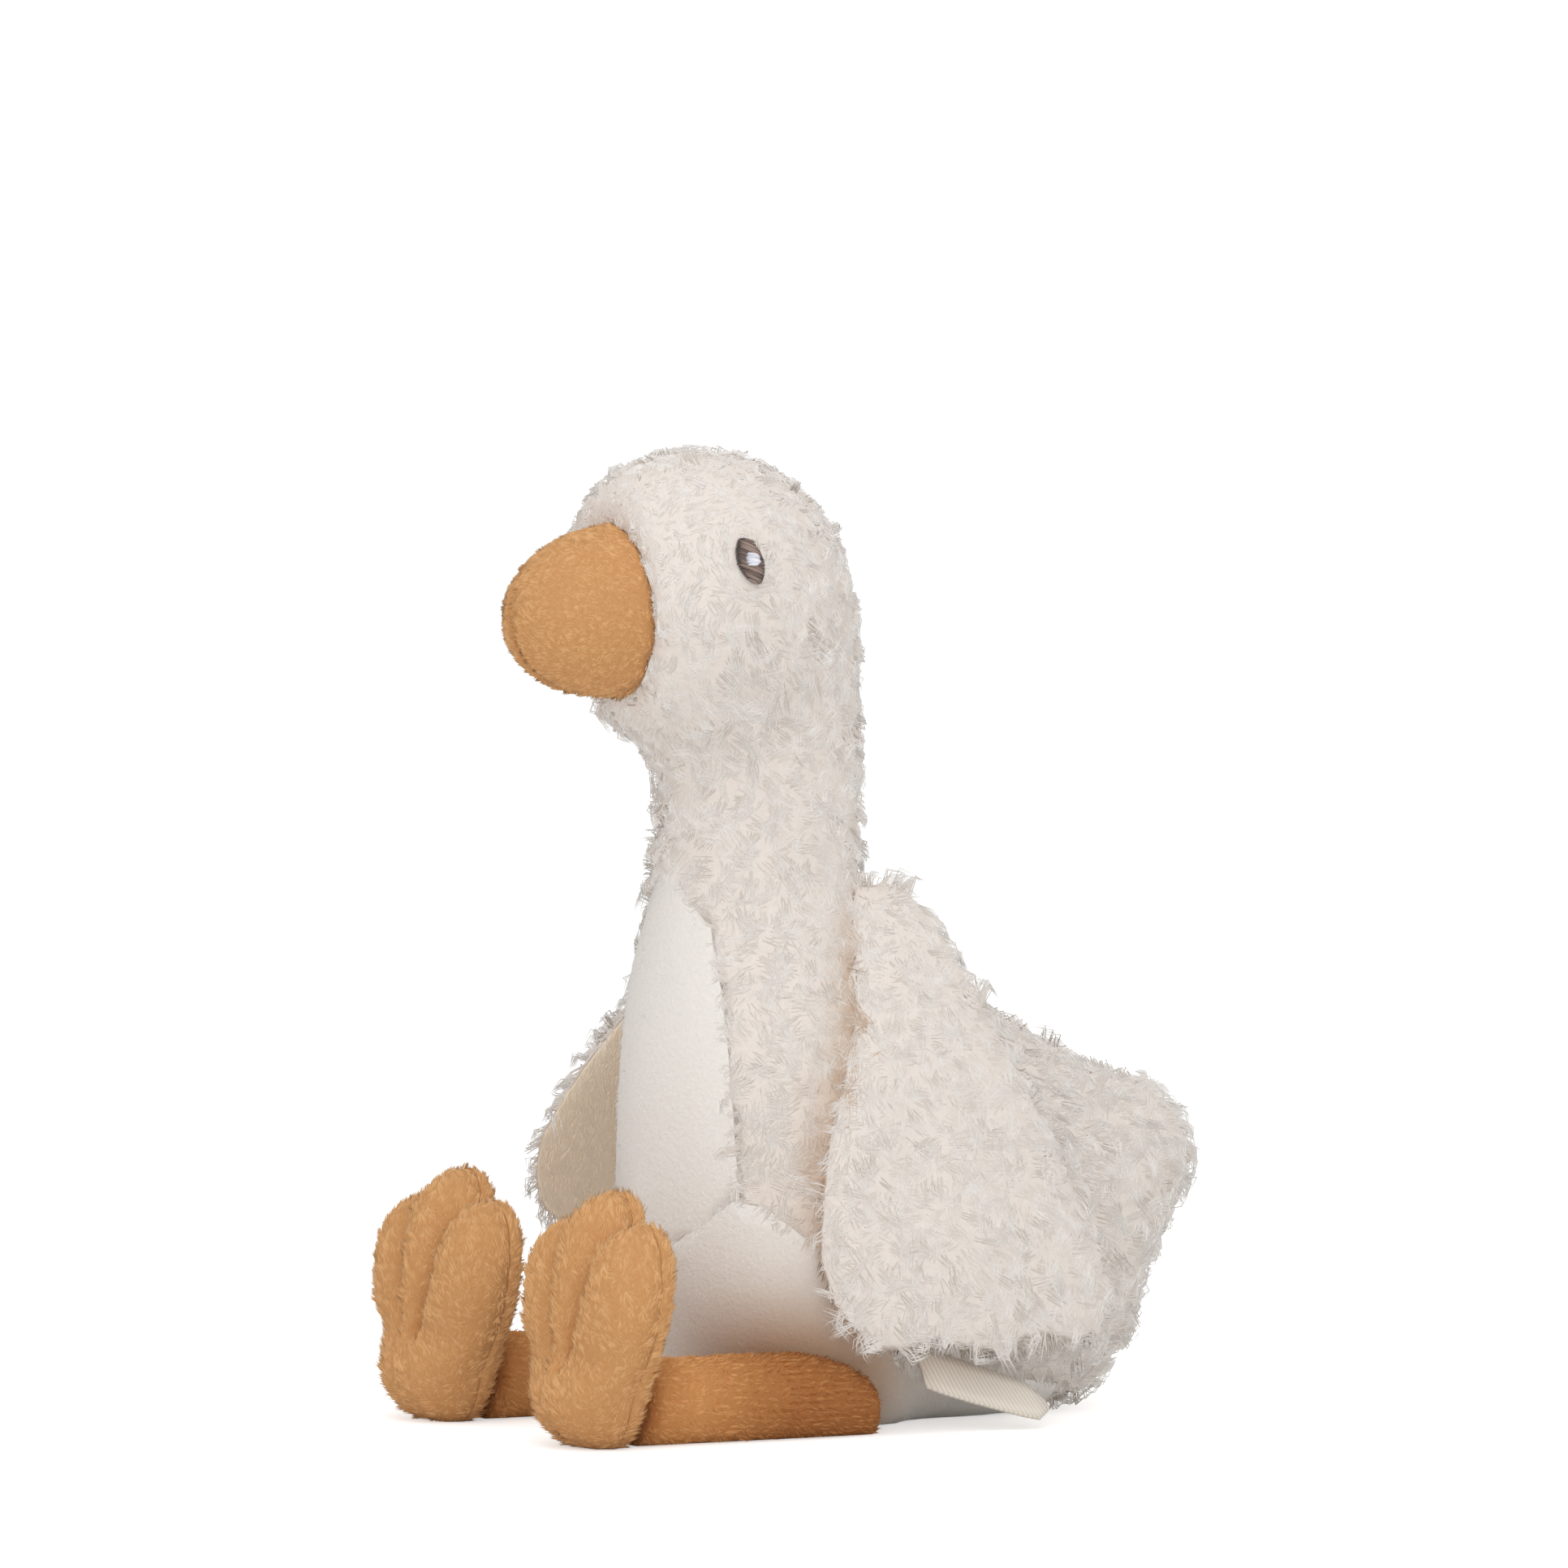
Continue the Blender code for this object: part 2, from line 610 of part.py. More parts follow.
def wing_grid(side, flare, swing, rows=14, columns=23):
    """The wing's middle surface: a fan that hangs from the shoulder and turns down with its weight."""
    chord = closer_at_ends(columns)[None, :]
    down = closer_at_ends(rows)[:, None]
    lobe = np.abs(np.sin(FEATHER_COUNT * math.pi * chord)) ** 0.6
    corner = 0.16 * (2 * chord - 1) ** 6
    length = WING_LENGTH * (1 - corner) - FEATHER_SCALLOP * (1 - lobe)
    hang = down * length
    share = hang / WING_LENGTH
    spread = WING_ROOT_HALF_WIDTH * (1 + np.clip(share * 12, 0, 1) ** 0.5)
    front = -spread - (WING_FRONT_FAN - 2 * WING_ROOT_HALF_WIDTH) * np.sin(0.5 * math.pi * share) ** 1.3
    back = spread + (WING_BACK_FAN - 2 * WING_ROOT_HALF_WIDTH) * share**1.05
    along = front + chord * (back - front)
    # The slope eases from the flare at the shoulder to a third of it at the tips
    slope = flare * (1 - 0.65 * share)
    mean_slope = flare * (1 - 0.325 * share)
    x = WING_ROOT_SIDE + hang * np.sin(mean_slope) - WING_WRAP * np.clip(along / WING_BACK_FAN, -1, 1) ** 2 * share
    y = WING_ROOT_BACK + along - swing * share
    z = WING_ROOT_HEIGHT - hang * np.cos(mean_slope)
    places = np.stack([side * x, y + 0 * x, z + 0 * x], axis=2)
    outward = np.stack([side * np.cos(slope), 0 * slope, np.sin(slope)], axis=2)
    return places, outward + 0 * places, chord + 0 * x, down + 0 * x


def make_wing(side, word, flare, swing, clearance, curl, smooth):
    """Curly outer padding and a smooth lining, quilted into three feathers."""
    places, outward, chord, down = wing_grid(side, flare, swing)
    rim = np.clip(1 - (2 * chord - 1) ** 2, 0, 1) ** 0.4 * np.clip(np.sin(math.pi * down**0.8), 0, 1) ** 0.4
    nearest = np.abs(chord * FEATHER_COUNT - np.round(chord * FEATHER_COUNT))
    inner_seam = (chord > 0.5 / FEATHER_COUNT) & (chord < 1 - 0.5 / FEATHER_COUNT)
    channel = np.exp(-((nearest / 0.16) ** 2)) * inner_seam * np.clip((down - 0.35) / 0.3, 0, 1)
    swell = rim * (1 - WING_CHANNEL * channel)
    for name, direction, thickness in (
        (f"wing_{word}", 1, WING_PADDING),
        (f"wing_lining_{word}", -1, LINING_THICKNESS),
    ):
        start = places + direction * (SEAM_GAP / 2) * outward
        outer = start + direction * thickness * swell[:, :, None] * outward
        made = object_from(name, pad(start, outer), curl if direction > 0 else smooth)
        boolean(made, "DIFFERENCE", clearance)


def make_label(clearance, ribbon):
    """A folded ribbon that leaves the side seam, droops and turns a little outwards."""
    rows, columns = 9, 5
    along = np.linspace(0, 1, rows)[:, None]
    across = np.linspace(-1, 1, columns)[None, :]
    distance = LABEL_LENGTH * along
    inset = LABEL_CORNER * (1 - np.sqrt(np.clip(1 - np.clip(along * 5 - 4, 0, 1) ** 2, 0, 1)))
    half = LABEL_WIDTH / 2 - inset
    x = LABEL_START[0] + LABEL_OUTWARD * along**0.7
    y = LABEL_START[1] + distance * 0.94
    z = LABEL_START[2] - LABEL_DROOP * along**0.9
    tilt = math.radians(35) + math.radians(15) * along
    middle = np.stack([x - half * across * np.sin(tilt), y + 0 * across, z + half * across * np.cos(tilt)], axis=2)
    normal = np.stack([np.cos(tilt) + 0 * across, 0 * tilt + 0 * across, np.sin(tilt) + 0 * across], axis=2)
    bm = bmesh.new()
    sheets = []
    for lift in (-0.5, 0.5):
        points = middle + lift * LABEL_THICKNESS * normal
        sheets.append([[bm.verts.new(point) for point in row] for row in points])
    for rows_of in sheets:
        for low, high in zip(rows_of, rows_of[1:]):
            for i in range(columns - 1):
                bm.faces.new((low[i], low[i + 1], high[i + 1], high[i]))
    rims = [edge_loop(rows_of) for rows_of in sheets]
    for i in range(len(rims[0])):
        j = (i + 1) % len(rims[0])
        bm.faces.new((rims[0][i], rims[0][j], rims[1][j], rims[1][i]))
    label = object_from("label", bm, ribbon)
    return boolean(label, "DIFFERENCE", clearance)


def edge_loop(rows):
    """The outer corners of a grid of vertices, in order."""
    right = [row[-1] for row in rows]
    left = [row[0] for row in rows]
    return rows[0][:-1] + right[:-1] + rows[-1][:0:-1] + left[:0:-1]


def build():
    clear_scene()
    curl = fabric("curly_plush", CREAM_CURL, 0.95)
    smooth = fabric("smooth_plush", CREAM_SMOOTH, 0.9)
    nap = fabric("orange_plush", ORANGE_NAP, 0.9)
    brown = fabric("brown_thread", BROWN_THREAD, 0.5)
    white = fabric("white_thread", WHITE_THREAD, 0.4)
    ribbon = fabric("ecru_ribbon", ECRU_RIBBON, 0.8)

    below = [(-REACH, -REACH), (REACH, -REACH), (REACH, 0.0), (-REACH, 0.0)]
    floor = guide(object_from("floor", prism(below, 0)))
    skin = guide(stuffed_skin())
    clearance = guide(skin_copy(skin, "clearance", SEAM_GAP))

    make_body_and_panels(skin, curl, smooth)
    make_beak(clearance, nap)
    make_eyes(skin, brown, white)
    for side, word in ((1, "left"), (-1, "right")):
        make_leg(side, word, clearance, floor, nap)
        make_foot(side, word, clearance, floor, nap)
    make_wing(1, "left", LEFT_WING_FLARE, LEFT_WING_SWING, clearance, curl, smooth)
    make_wing(-1, "right", RIGHT_WING_FLARE, RIGHT_WING_SWING, clearance, curl, smooth)
    make_label(clearance, ribbon)


build()
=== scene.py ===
import math

import bpy
import numpy as np
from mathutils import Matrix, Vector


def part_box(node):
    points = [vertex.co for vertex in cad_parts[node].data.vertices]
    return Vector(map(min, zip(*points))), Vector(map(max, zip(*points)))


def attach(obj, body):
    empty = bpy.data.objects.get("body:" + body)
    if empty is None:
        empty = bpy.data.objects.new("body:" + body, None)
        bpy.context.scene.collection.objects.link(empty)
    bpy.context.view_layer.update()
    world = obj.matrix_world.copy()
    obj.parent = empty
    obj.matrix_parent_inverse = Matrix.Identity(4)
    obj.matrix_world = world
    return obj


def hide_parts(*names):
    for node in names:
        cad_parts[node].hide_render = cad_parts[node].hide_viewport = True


# Looks of a sitting plush goose: fleece of small curled locks over stuffed skins, short nap on the
# belly, beak, legs and feet, stitched eyes and a bare woven ribbon. Sizes are in metres.

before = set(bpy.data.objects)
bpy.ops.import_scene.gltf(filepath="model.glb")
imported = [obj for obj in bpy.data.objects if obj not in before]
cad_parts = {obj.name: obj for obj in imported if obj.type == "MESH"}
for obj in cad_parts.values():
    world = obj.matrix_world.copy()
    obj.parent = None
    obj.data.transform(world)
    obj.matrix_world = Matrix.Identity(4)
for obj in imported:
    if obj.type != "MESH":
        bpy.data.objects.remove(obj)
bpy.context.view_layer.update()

UP = np.array([0.0, 0.0, 1.0])
SIDES = (("left", 1), ("right", -1))
BEAK = np.array([0.0, -0.0350, 0.1625])
WING_ROOT_Y, WING_ROOT_Z = 0.0180, 0.1100

# Fibres on a square centimetre of each cloth.
COAT_FIBRES = 145
SEAM_FIBRES = 220
RIM_FIBRES = 90
LINING_FIBRES = 160
PANEL_FIBRES = 150
BEAK_FIBRES = 330
LIMB_FIBRES = 230

# Lengths of the fibres.
FLEECE_LENGTH = 0.0054
CROWN_SHEARED = 0.0018
LINING_NAP = 0.0028
PANEL_NAP = 0.0014
BEAK_NAP = 0.0012
LEG_NAP = 0.0015
FOOT_NAP = 0.0020

# Cloth that is drawn over its seams.
PANEL_GROWTH = 0.0003
FOOT_GROWTH = 0.00012

CM2_IN_M2 = 1e4
MICRONS_IN_M = 1e6
MM_IN_M = 1000


# Shader nodes

RGBA = {"data_type": "RGBA"}
MULTIPLY = {"operation": "MULTIPLY"}
MAXIMUM = {"operation": "MAXIMUM"}
WAVE_UNITS = 20


def linear(code):
    """An sRGB hex colour as linear red, green, blue and 1."""
    part = np.array([int(code[i : i + 2], 16) for i in (1, 3, 5)]) / 255
    low = part / 12.92
    high = ((part + 0.055) / 1.055) ** 2.4
    return (*np.where(part <= 0.04045, low, high), 1.0)


def add(tree, kind, settings=None, **inputs):
    """Adds one shader node. Settings are its own fields. Inputs are values or other nodes' outputs,
    each under its socket's name or, as n and a number, its socket's place."""
    node = tree.nodes.new(kind)
    for name, value in (settings or {}).items():
        setattr(node, name, value)
    for name, value in inputs.items():
        by_place = name[0] == "n" and name[1:].isdigit()
        socket = node.inputs[int(name[1:]) if by_place else name.replace("_", " ")]
        if isinstance(value, bpy.types.NodeSocket):
            tree.links.new(value, socket)
        else:
            socket.default_value = value
    return node


def finish(name, roughness, specular=0.2, sheen=0.0):
    """A material with its tree and its shader, whose constants are set on the sockets."""
    material = bpy.data.materials.new(name)
    material.use_nodes = True
    tree = material.node_tree
    shader = tree.nodes["Principled BSDF"]
    shader.inputs["Roughness"].default_value = roughness
    shader.inputs["Metallic"].default_value = 0.0
    shader.inputs["Specular IOR Level"].default_value = specular
    shader.inputs["Sheen Weight"].default_value = sheen
    return material, tree, shader


def with_painted_shade(tree, colour, painted_shade):
    """A colour that turns to the colour of painted shade by its point attribute, from 0 to 1."""
    amount = add(tree, "ShaderNodeAttribute", {"attribute_name": "painted_shade"})
    mixed = add(tree, "ShaderNodeMix", RGBA, n0=amount.outputs["Fac"], n6=colour, n7=linear(painted_shade))
    return mixed.outputs[2]


def pile(name, root, tip, odd, painted_shade, roughness, patch_mm, share=0.45, patches=0.25):
    """Polyester pile, knitted and sheared. Fibres are painted darker at the root than at the tip, as
    shade deep in the pile, every lock takes its own share of the odd tone, broad soft patches show
    where the pile was brushed, and painted shade, deeper and warmer, lies where pieces meet."""
    material, tree, shader = finish(name, roughness, 0.0)
    # Painted shade deep in the pile: each fibre is darker at its root than at its tip.
    along = add(tree, "ShaderNodeAttribute", {"attribute_name": "along"})
    fibre = add(tree, "ShaderNodeMix", RGBA, n0=along.outputs["Fac"], n6=linear(root), n7=linear(tip))
    lock = add(tree, "ShaderNodeAttribute", {"attribute_name": "lock"})
    amount = add(tree, "ShaderNodeMath", MULTIPLY, n0=lock.outputs["Fac"], n1=share)
    varied = add(tree, "ShaderNodeMix", RGBA, n0=amount.outputs[0], n6=fibre.outputs[2], n7=linear(odd))
    place = add(tree, "ShaderNodeTexCoord")
    patch = add(
        tree, "ShaderNodeTexNoise",
        Vector=place.outputs["Object"], Scale=MM_IN_M / patch_mm, Detail=2.0,
    )
    soft = add(tree, "ShaderNodeMapRange", n0=patch.outputs["Fac"], n1=0.40, n2=0.65, n3=0.0, n4=patches)
    darkened = add(tree, "ShaderNodeMix", RGBA, n0=soft.outputs[0], n6=varied.outputs[2], n7=linear(odd))
    tree.links.new(with_painted_shade(tree, darkened.outputs[2], painted_shade), shader.inputs["Base Color"])
    return material


def backing(name, colour, deep, painted_shade, grain_mm, depth_mm):
    """Knitted backing seen between the fibres: mottled, rough at the scale of the pile, and with
    painted shade where pieces meet.
    """
    material, tree, shader = finish(name, 0.95)
    place = add(tree, "ShaderNodeTexCoord")
    grain = add(
        tree, "ShaderNodeTexNoise",
        Vector=place.outputs["Object"], Scale=MM_IN_M / grain_mm, Detail=4.0, Roughness=0.6,
    )
    mixed = add(tree, "ShaderNodeMix", RGBA, n0=grain.outputs["Fac"], n6=linear(deep), n7=linear(colour))
    tree.links.new(with_painted_shade(tree, mixed.outputs[2], painted_shade), shader.inputs["Base Color"])
    depth = depth_mm / MM_IN_M
    bump = add(tree, "ShaderNodeBump", Strength=0.8, Distance=depth, Height=grain.outputs["Fac"])
    tree.links.new(bump.outputs[0], shader.inputs["Normal"])
    return material


def floss(name, bright, dark, roughness):
    """Rayon embroidery thread: a painted soft shine along each stitch, and painted shade where it
    dips into the cloth.
    """
    material, tree, shader = finish(name, roughness, 0.45, 0.2)
    along = add(tree, "ShaderNodeAttribute", {"attribute_name": "along"})
    lock = add(tree, "ShaderNodeAttribute", {"attribute_name": "lock"})
    blend = add(tree, "ShaderNodeMath", MULTIPLY, n0=along.outputs["Fac"], n1=lock.outputs["Fac"])
    mixed = add(tree, "ShaderNodeMix", RGBA, n0=blend.outputs[0], n6=linear(dark), n7=linear(bright))
    tree.links.new(mixed.outputs[2], shader.inputs["Base Color"])
    return material


def twill(name, colour, shade, rib_mm):
    """Cotton twill ribbon: fine diagonal ribs, drawn twice as coarse as woven so that they show. A
    wave texture's ribs are 2 pi over 20 times its scale apart."""
    material, tree, shader = finish(name, 0.8, sheen=0.15)
    flat = add(tree, "ShaderNodeUVMap", {"uv_map": "cut"})
    slant = (0, 0, math.radians(35))
    turned = add(tree, "ShaderNodeMapping", Vector=flat.outputs[0], Rotation=slant)
    ribs = add(
        tree, "ShaderNodeTexWave", {"wave_type": "BANDS", "bands_direction": "X"},
        Vector=turned.outputs[0],
        Scale=2 * math.pi / WAVE_UNITS * MM_IN_M / rib_mm,
        Distortion=0.6,
        Detail=1.0,
    )
    mixed = add(tree, "ShaderNodeMix", RGBA, n0=ribs.outputs["Fac"], n6=linear(shade), n7=linear(colour))
    tree.links.new(mixed.outputs[2], shader.inputs["Base Color"])
    bump = add(tree, "ShaderNodeBump", Strength=0.6, Distance=0.0001, Height=ribs.outputs["Fac"])
    tree.links.new(bump.outputs[0], shader.inputs["Normal"])
    return material


# Meshes from arrays

NO_QUADS = np.empty((0, 4), int)
NO_TRIANGLES = np.empty((0, 3), int)


def unit(vectors):
    """Vectors at length 1."""
    return vectors / np.maximum(np.linalg.norm(vectors, axis=-1, keepdims=True), 1e-12)


def ramp(values, start, over):
    """0 up to the start, then rising evenly to 1 over a length."""
    return np.clip((values - start) / over, 0, 1)


def mesh_from(name, places, quads, triangles, material, facing=None, **fields):
    """One object from whole arrays: points, four-sided faces, three-sided faces, the directions that
    its points are shaded as facing, and point attributes."""
    mesh = bpy.data.meshes.new(name)
    loops = np.concatenate([quads.ravel(), triangles.ravel()]).astype(np.int32)
    starts = np.concatenate([np.arange(len(quads)) * 4, len(quads) * 4 + np.arange(len(triangles)) * 3])
    mesh.vertices.add(len(places))
    mesh.vertices.foreach_set("co", np.ascontiguousarray(places, np.float32).ravel())
    mesh.loops.add(len(loops))
    mesh.loops.foreach_set("vertex_index", loops)
    mesh.polygons.add(len(quads) + len(triangles))
    mesh.polygons.foreach_set("loop_start", starts.astype(np.int32))
    mesh.update(calc_edges=True)
    for field, values in fields.items():
        attribute = mesh.attributes.new(field, "FLOAT", "POINT")
        attribute.data.foreach_set("value", values.astype(np.float32).ravel())
    mesh.shade_smooth()
    if facing is not None:
        mesh.normals_split_custom_set_from_vertices(facing.reshape(-1, 3).astype(np.float32))
    mesh.materials.append(material)
    made = bpy.data.objects.new(name, mesh)
    bpy.context.scene.collection.objects.link(made)
    return made


def merged(node):
    """A CAD node's surface as points and triangles, its loose triangles joined where their corners
    agree to a micron."""
    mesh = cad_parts[node].data
    mesh.calc_loop_triangles()
    places = np.empty(len(mesh.vertices) * 3)
    mesh.vertices.foreach_get("co", places)
    faces = np.empty(len(mesh.loop_triangles) * 3, np.int32)
    mesh.loop_triangles.foreach_get("vertices", faces)
    microns = np.round(places.reshape(-1, 3) * MICRONS_IN_M).astype(np.int64)
    key, back = np.unique(microns, axis=0, return_inverse=True)
    faces = back.ravel()[faces.reshape(-1, 3)]
    whole = (faces[:, 0] != faces[:, 1]) & (faces[:, 1] != faces[:, 2]) & (faces[:, 2] != faces[:, 0])
    return key / MICRONS_IN_M, faces[whole]


def normals_of(places, faces):
    """Point normals: each face's normal, weighted by its area, summed at its corners."""
    a, b, c = (places[faces[:, i]] for i in range(3))
    cross = np.cross(b - a, c - a)
    total = np.zeros_like(places)
    for i in range(3):
        np.add.at(total, faces[:, i], cross)
    return unit(total)


def skin(name, node, material, painted_shade=None, grow=0.0):
    """The stuffed surface under the pile: the node's own surface, joined, shaded round, grown along
    its normals where a seam must close but no lower than it was, and with painted shade given by a
    function of its points."""
    places, faces = merged(node)
    lowest = places[:, 2].min()
    places = places + grow * normals_of(places, faces)
    places[:, 2] = np.maximum(places[:, 2], lowest)
    fields = {} if painted_shade is None else {"painted_shade": painted_shade(places)}
    return mesh_from(name, places, NO_QUADS, faces, material, **fields)


def settle(piece, slot, *nodes, fill=None):
    """The piece rides on the body and stands for its CAD nodes; the slot is not used."""
    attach(piece, "root")
    if nodes:
        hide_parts(*nodes)
    return piece


# Where fibres stand

def scatter(places, faces, per_cm2, seed, extra=None):
    """Points spread evenly by area, each with its normal and with any extra value of the surface:
    random weights inside triangles that are picked by running area, so that no patch is left bare."""
    rng = np.random.default_rng(seed)
    normals = normals_of(places, faces)
    a, b, c = (places[faces[:, i]] for i in range(3))
    area = np.linalg.norm(np.cross(b - a, c - a), axis=1) / 2
    running = np.cumsum(area)
    count = int(running[-1] * CM2_IN_M2 * per_cm2)
    pick = np.searchsorted(running, (np.arange(count) + rng.random(count)) / count * running[-1])
    pick = np.minimum(pick, len(faces) - 1)
    u, v = np.sqrt(rng.random(count)), rng.random(count)
    weight = np.stack([1 - u, u * (1 - v), u * v], axis=1)[:, :, None]
    corner = faces[pick]
    found = [(places[corner] * weight).sum(1), unit((normals[corner] * weight).sum(1))]
    if extra is not None:
        found.append((extra[corner] * weight[:, :, 0]).sum(1))
    return found


def nearest(points, centres):
    """For each point, the index of its nearest centre, by blocks of whole distance arrays."""
    block_size = 4000
    found = np.empty(len(points), np.int64)
    square = (centres**2).sum(1)
    for start in range(0, len(points), block_size):
        block = points[start : start + block_size]
        found[start : start + block_size] = np.argmin(square - 2 * block @ centres.T, axis=1)
    return found


def beside(spot, reach, *nodes):
    """How near each point is to the surfaces of other nodes: 1 where they touch, falling to 0 as the
    bell curve of its distance over the reach."""
    marks_per_cm2, seed = 60, 7
    others = np.concatenate([scatter(*merged(node), marks_per_cm2, seed)[0] for node in nodes])
    found = np.linalg.norm(spot - others[nearest(spot, others)], axis=1)
    return np.exp(-((found / reach) ** 2))


def hollows(places, faces):
    """How hollow the surface is at each point, from -1 on a crest to 1 in a crease: the height of its
    neighbours over it, as a share of their distance, spread four times over the neighbours."""
    full_hollow = 0.12
    edges = np.sort(np.concatenate([faces[:, [0, 1]], faces[:, [1, 2]], faces[:, [2, 0]]]), axis=1)
    edges = np.unique(edges, axis=0)
    first, second = np.concatenate([edges, edges[:, ::-1]]).T
    apart = places[second] - places[first]
    distance = np.maximum(np.linalg.norm(apart, axis=1), 1e-6)
    over = (apart * normals_of(places, faces)[first]).sum(1) / distance
    number = np.maximum(np.bincount(first, minlength=len(places)), 1)
    value = np.bincount(first, over, len(places)) / number
    for _ in range(4):
        value = (value + np.bincount(first, value[second], len(places)) / number) / 2
    return np.clip(value / full_hollow, -1, 1)


# Fibres and locks

# Lift, turn and curl of the locks, and how far their fibres gather, from 0 for none to 1 for a point.
CURL = dict(
    rise=0.36, spread=0.95, curl=0.26, width=0.00040, fibres=10, gather=0.55, soft=0.93,
    bend=0.76, wisps=0.08,
)
SHORT = dict(
    rise=0.50, spread=0.45, curl=0.0, width=0.00042, fibres=4, gather=0.15, soft=0.90,
    steps=2, sink=0.00012,
)
NAP = dict(
    rise=0.50, spread=0.50, curl=0.0, width=0.00042, fibres=6, gather=0.35, soft=0.70,
    steps=2, sink=0.00012,
)


def paths(roots, up, flow, length, rise, swing, phase, steps, bend):
    """Fibre paths. Each goes along the lie of the pile, rises like the first part of a half wave and
    swings to its side like a sine that starts at nothing. A bend above 0.5 turns the tip down again."""
    swing_turn = 4.2
    lie = unit(flow - (flow * up).sum(1, keepdims=True) * up)
    side = np.cross(up, lie)
    t = np.linspace(0, 1, steps)[None, :, None]
    span, rise, swing, phase = (value[:, None, None] for value in (length, rise, swing, phase))
    climb = rise * np.sin(t * math.pi * bend)
    run = np.sqrt(np.clip(1 - rise**2, 0.05, 1)) * t
    wave = swing * (np.sin(phase + swing_turn * t) - np.sin(phase))
    return roots[:, None] + span * (run * lie[:, None] + climb * up[:, None] + wave * side[:, None]), side


def strands(name, path, side, up, width, profile, material, along, lock, corners, soft, painted_shade=None):
    """Closed fibres: a small polygon carried along each path, as wide as the profile says at each
    step and closed to a point at the last, all above the floor. Real fibres let light through to
    their neighbours. So these are shaded partly as the cloth under them faces, by the share soft on
    top and less underneath, and they neither throw shadows nor send light on to other pieces."""
    floor_gap, facing_reach = 0.00015, 0.78
    count, steps = path.shape[:2]
    rings = steps - 1
    corner = math.pi / 2 + np.arange(corners) * 2 * math.pi / corners
    ring = np.cos(corner)[:, None] * side[:, None, None] + np.sin(corner)[:, None] * up[:, None, None]
    ring = np.broadcast_to(ring, (count, rings, corners, 3))
    half = 0.5 * width[:, None, None, None] * np.asarray(profile)[None, :, None, None]
    walls = (path[:, :-1, None] + half * ring).reshape(count, -1, 3)
    places = np.concatenate([walls, path[:, -1:]], axis=1)
    places[:, :, 2] = np.maximum(places[:, :, 2], floor_gap)
    ahead = unit(path[:, -1:] - path[:, -2:-1])
    facing = np.concatenate([ring.reshape(count, -1, 3), ahead], axis=1)
    share = soft * np.clip(facing_reach + (facing * up[:, None]).sum(2, keepdims=True), 0, 1)
    facing = unit(share * up[:, None] + (1 - share) * facing)

    each, last = rings * corners + 1, (rings - 1) * corners
    base = np.arange(count)[:, None, None] * each
    i = np.arange(corners)
    j = (i + 1) % corners
    quads = NO_QUADS
    if last:
        sleeve = np.stack([i, j, corners + j, corners + i], axis=1)
        sleeves = (np.arange(0, last, corners)[:, None, None] + sleeve).reshape(-1, 4)
        quads = (base + sleeves).reshape(-1, 4)
    tip = np.stack([last + i, last + j, np.full(corners, rings * corners)], axis=1)
    root = np.stack([np.zeros(corners - 2, int), i[2:], i[1:-1]], axis=1)
    triangles = (base + np.concatenate([tip, root])).reshape(-1, 3)

    grade = np.concatenate([np.repeat(along[:-1], corners), along[-1:]])
    fields = {} if painted_shade is None else {"painted_shade": np.repeat(painted_shade, each)}
    made = mesh_from(
        name, places.reshape(-1, 3), quads, triangles, material, facing,
        along=np.tile(grade, count), lock=np.repeat(lock, each), **fields,
    )
    made.visible_shadow = False
    made.visible_diffuse = False
    return made


def turned(vectors, about, angle):
    """Vectors laid flat under the directions about, and turned round them by the angle."""
    lie = unit(vectors - (vectors * about).sum(1, keepdims=True) * about)
    return np.cos(angle)[:, None] * lie + np.sin(angle)[:, None] * np.cross(about, lie)


def locks(
    name, spot, up, flow, material, seed, length, rise, spread, curl, width, fibres, gather, soft,
    bend=0.5, steps=3, sink=0.0003, wisps=0.0, shade=None, vary=1.0, painted_shade=None,
):
    """Pile: fibres gather into small locks. Every lock has its own turn, curl, length and tone, and its
    fibres lean towards the path of its middle, more so near the tip. Roots sink a little into the
    cloth, and a share of the locks are wisps, a third longer. Tones vary by chance, and where a shade
    is given they vary less and it is added to them."""
    wisp_growth, tip_width = 1.35, 0.55
    rng = np.random.default_rng(seed)
    count = len(spot)
    locks_in_all = max(3, int(count / fibres))
    chosen = rng.choice(count, locks_in_all, replace=False)
    member = nearest(spot, spot[chosen])
    turn = spread * rng.standard_normal(locks_in_all)
    phase = rng.uniform(0, 2 * math.pi, locks_in_all)
    reach = length[chosen] * rng.uniform(0.70, 1.30, locks_in_all)
    reach *= np.where(rng.random(locks_in_all) < wisps, wisp_growth, 1.0)
    lift = np.clip(rise * rng.uniform(0.6, 1.4, locks_in_all), 0.05, 0.95)
    swing = curl * rng.uniform(0.5, 1.3, locks_in_all)
    lie = turned(flow[chosen], up[chosen], turn)
    middle, _ = paths(spot[chosen], up[chosen], lie, reach, lift, swing, phase, steps, bend)

    own_turn = turn[member] + 0.25 * spread * rng.standard_normal(count)
    own_reach = reach[member] * rng.uniform(0.8, 1.1, count)
    own_lift = np.clip(lift[member] * rng.uniform(0.7, 1.3, count), 0.04, 0.97)
    own_lie = turned(flow, up, own_turn)
    own, side = paths(spot, up, own_lie, own_reach, own_lift, swing[member], phase[member], steps, bend)

    grade = np.linspace(0, 1, steps)
    path = own + gather * grade[None, :, None] * (middle[member] - own)
    path -= sink * up[:, None]
    thick = width * rng.uniform(0.7, 1.3, count)
    tone = 0.6 * rng.random(locks_in_all)[member] + 0.4 * rng.random(count)
    if shade is not None:
        tone = np.clip(vary * tone + shade, 0, 1)
    profile = np.linspace(1, tip_width, steps - 1)
    return strands(name, path, side, up, thick, profile, material, grade, tone, 3, soft, painted_shade)
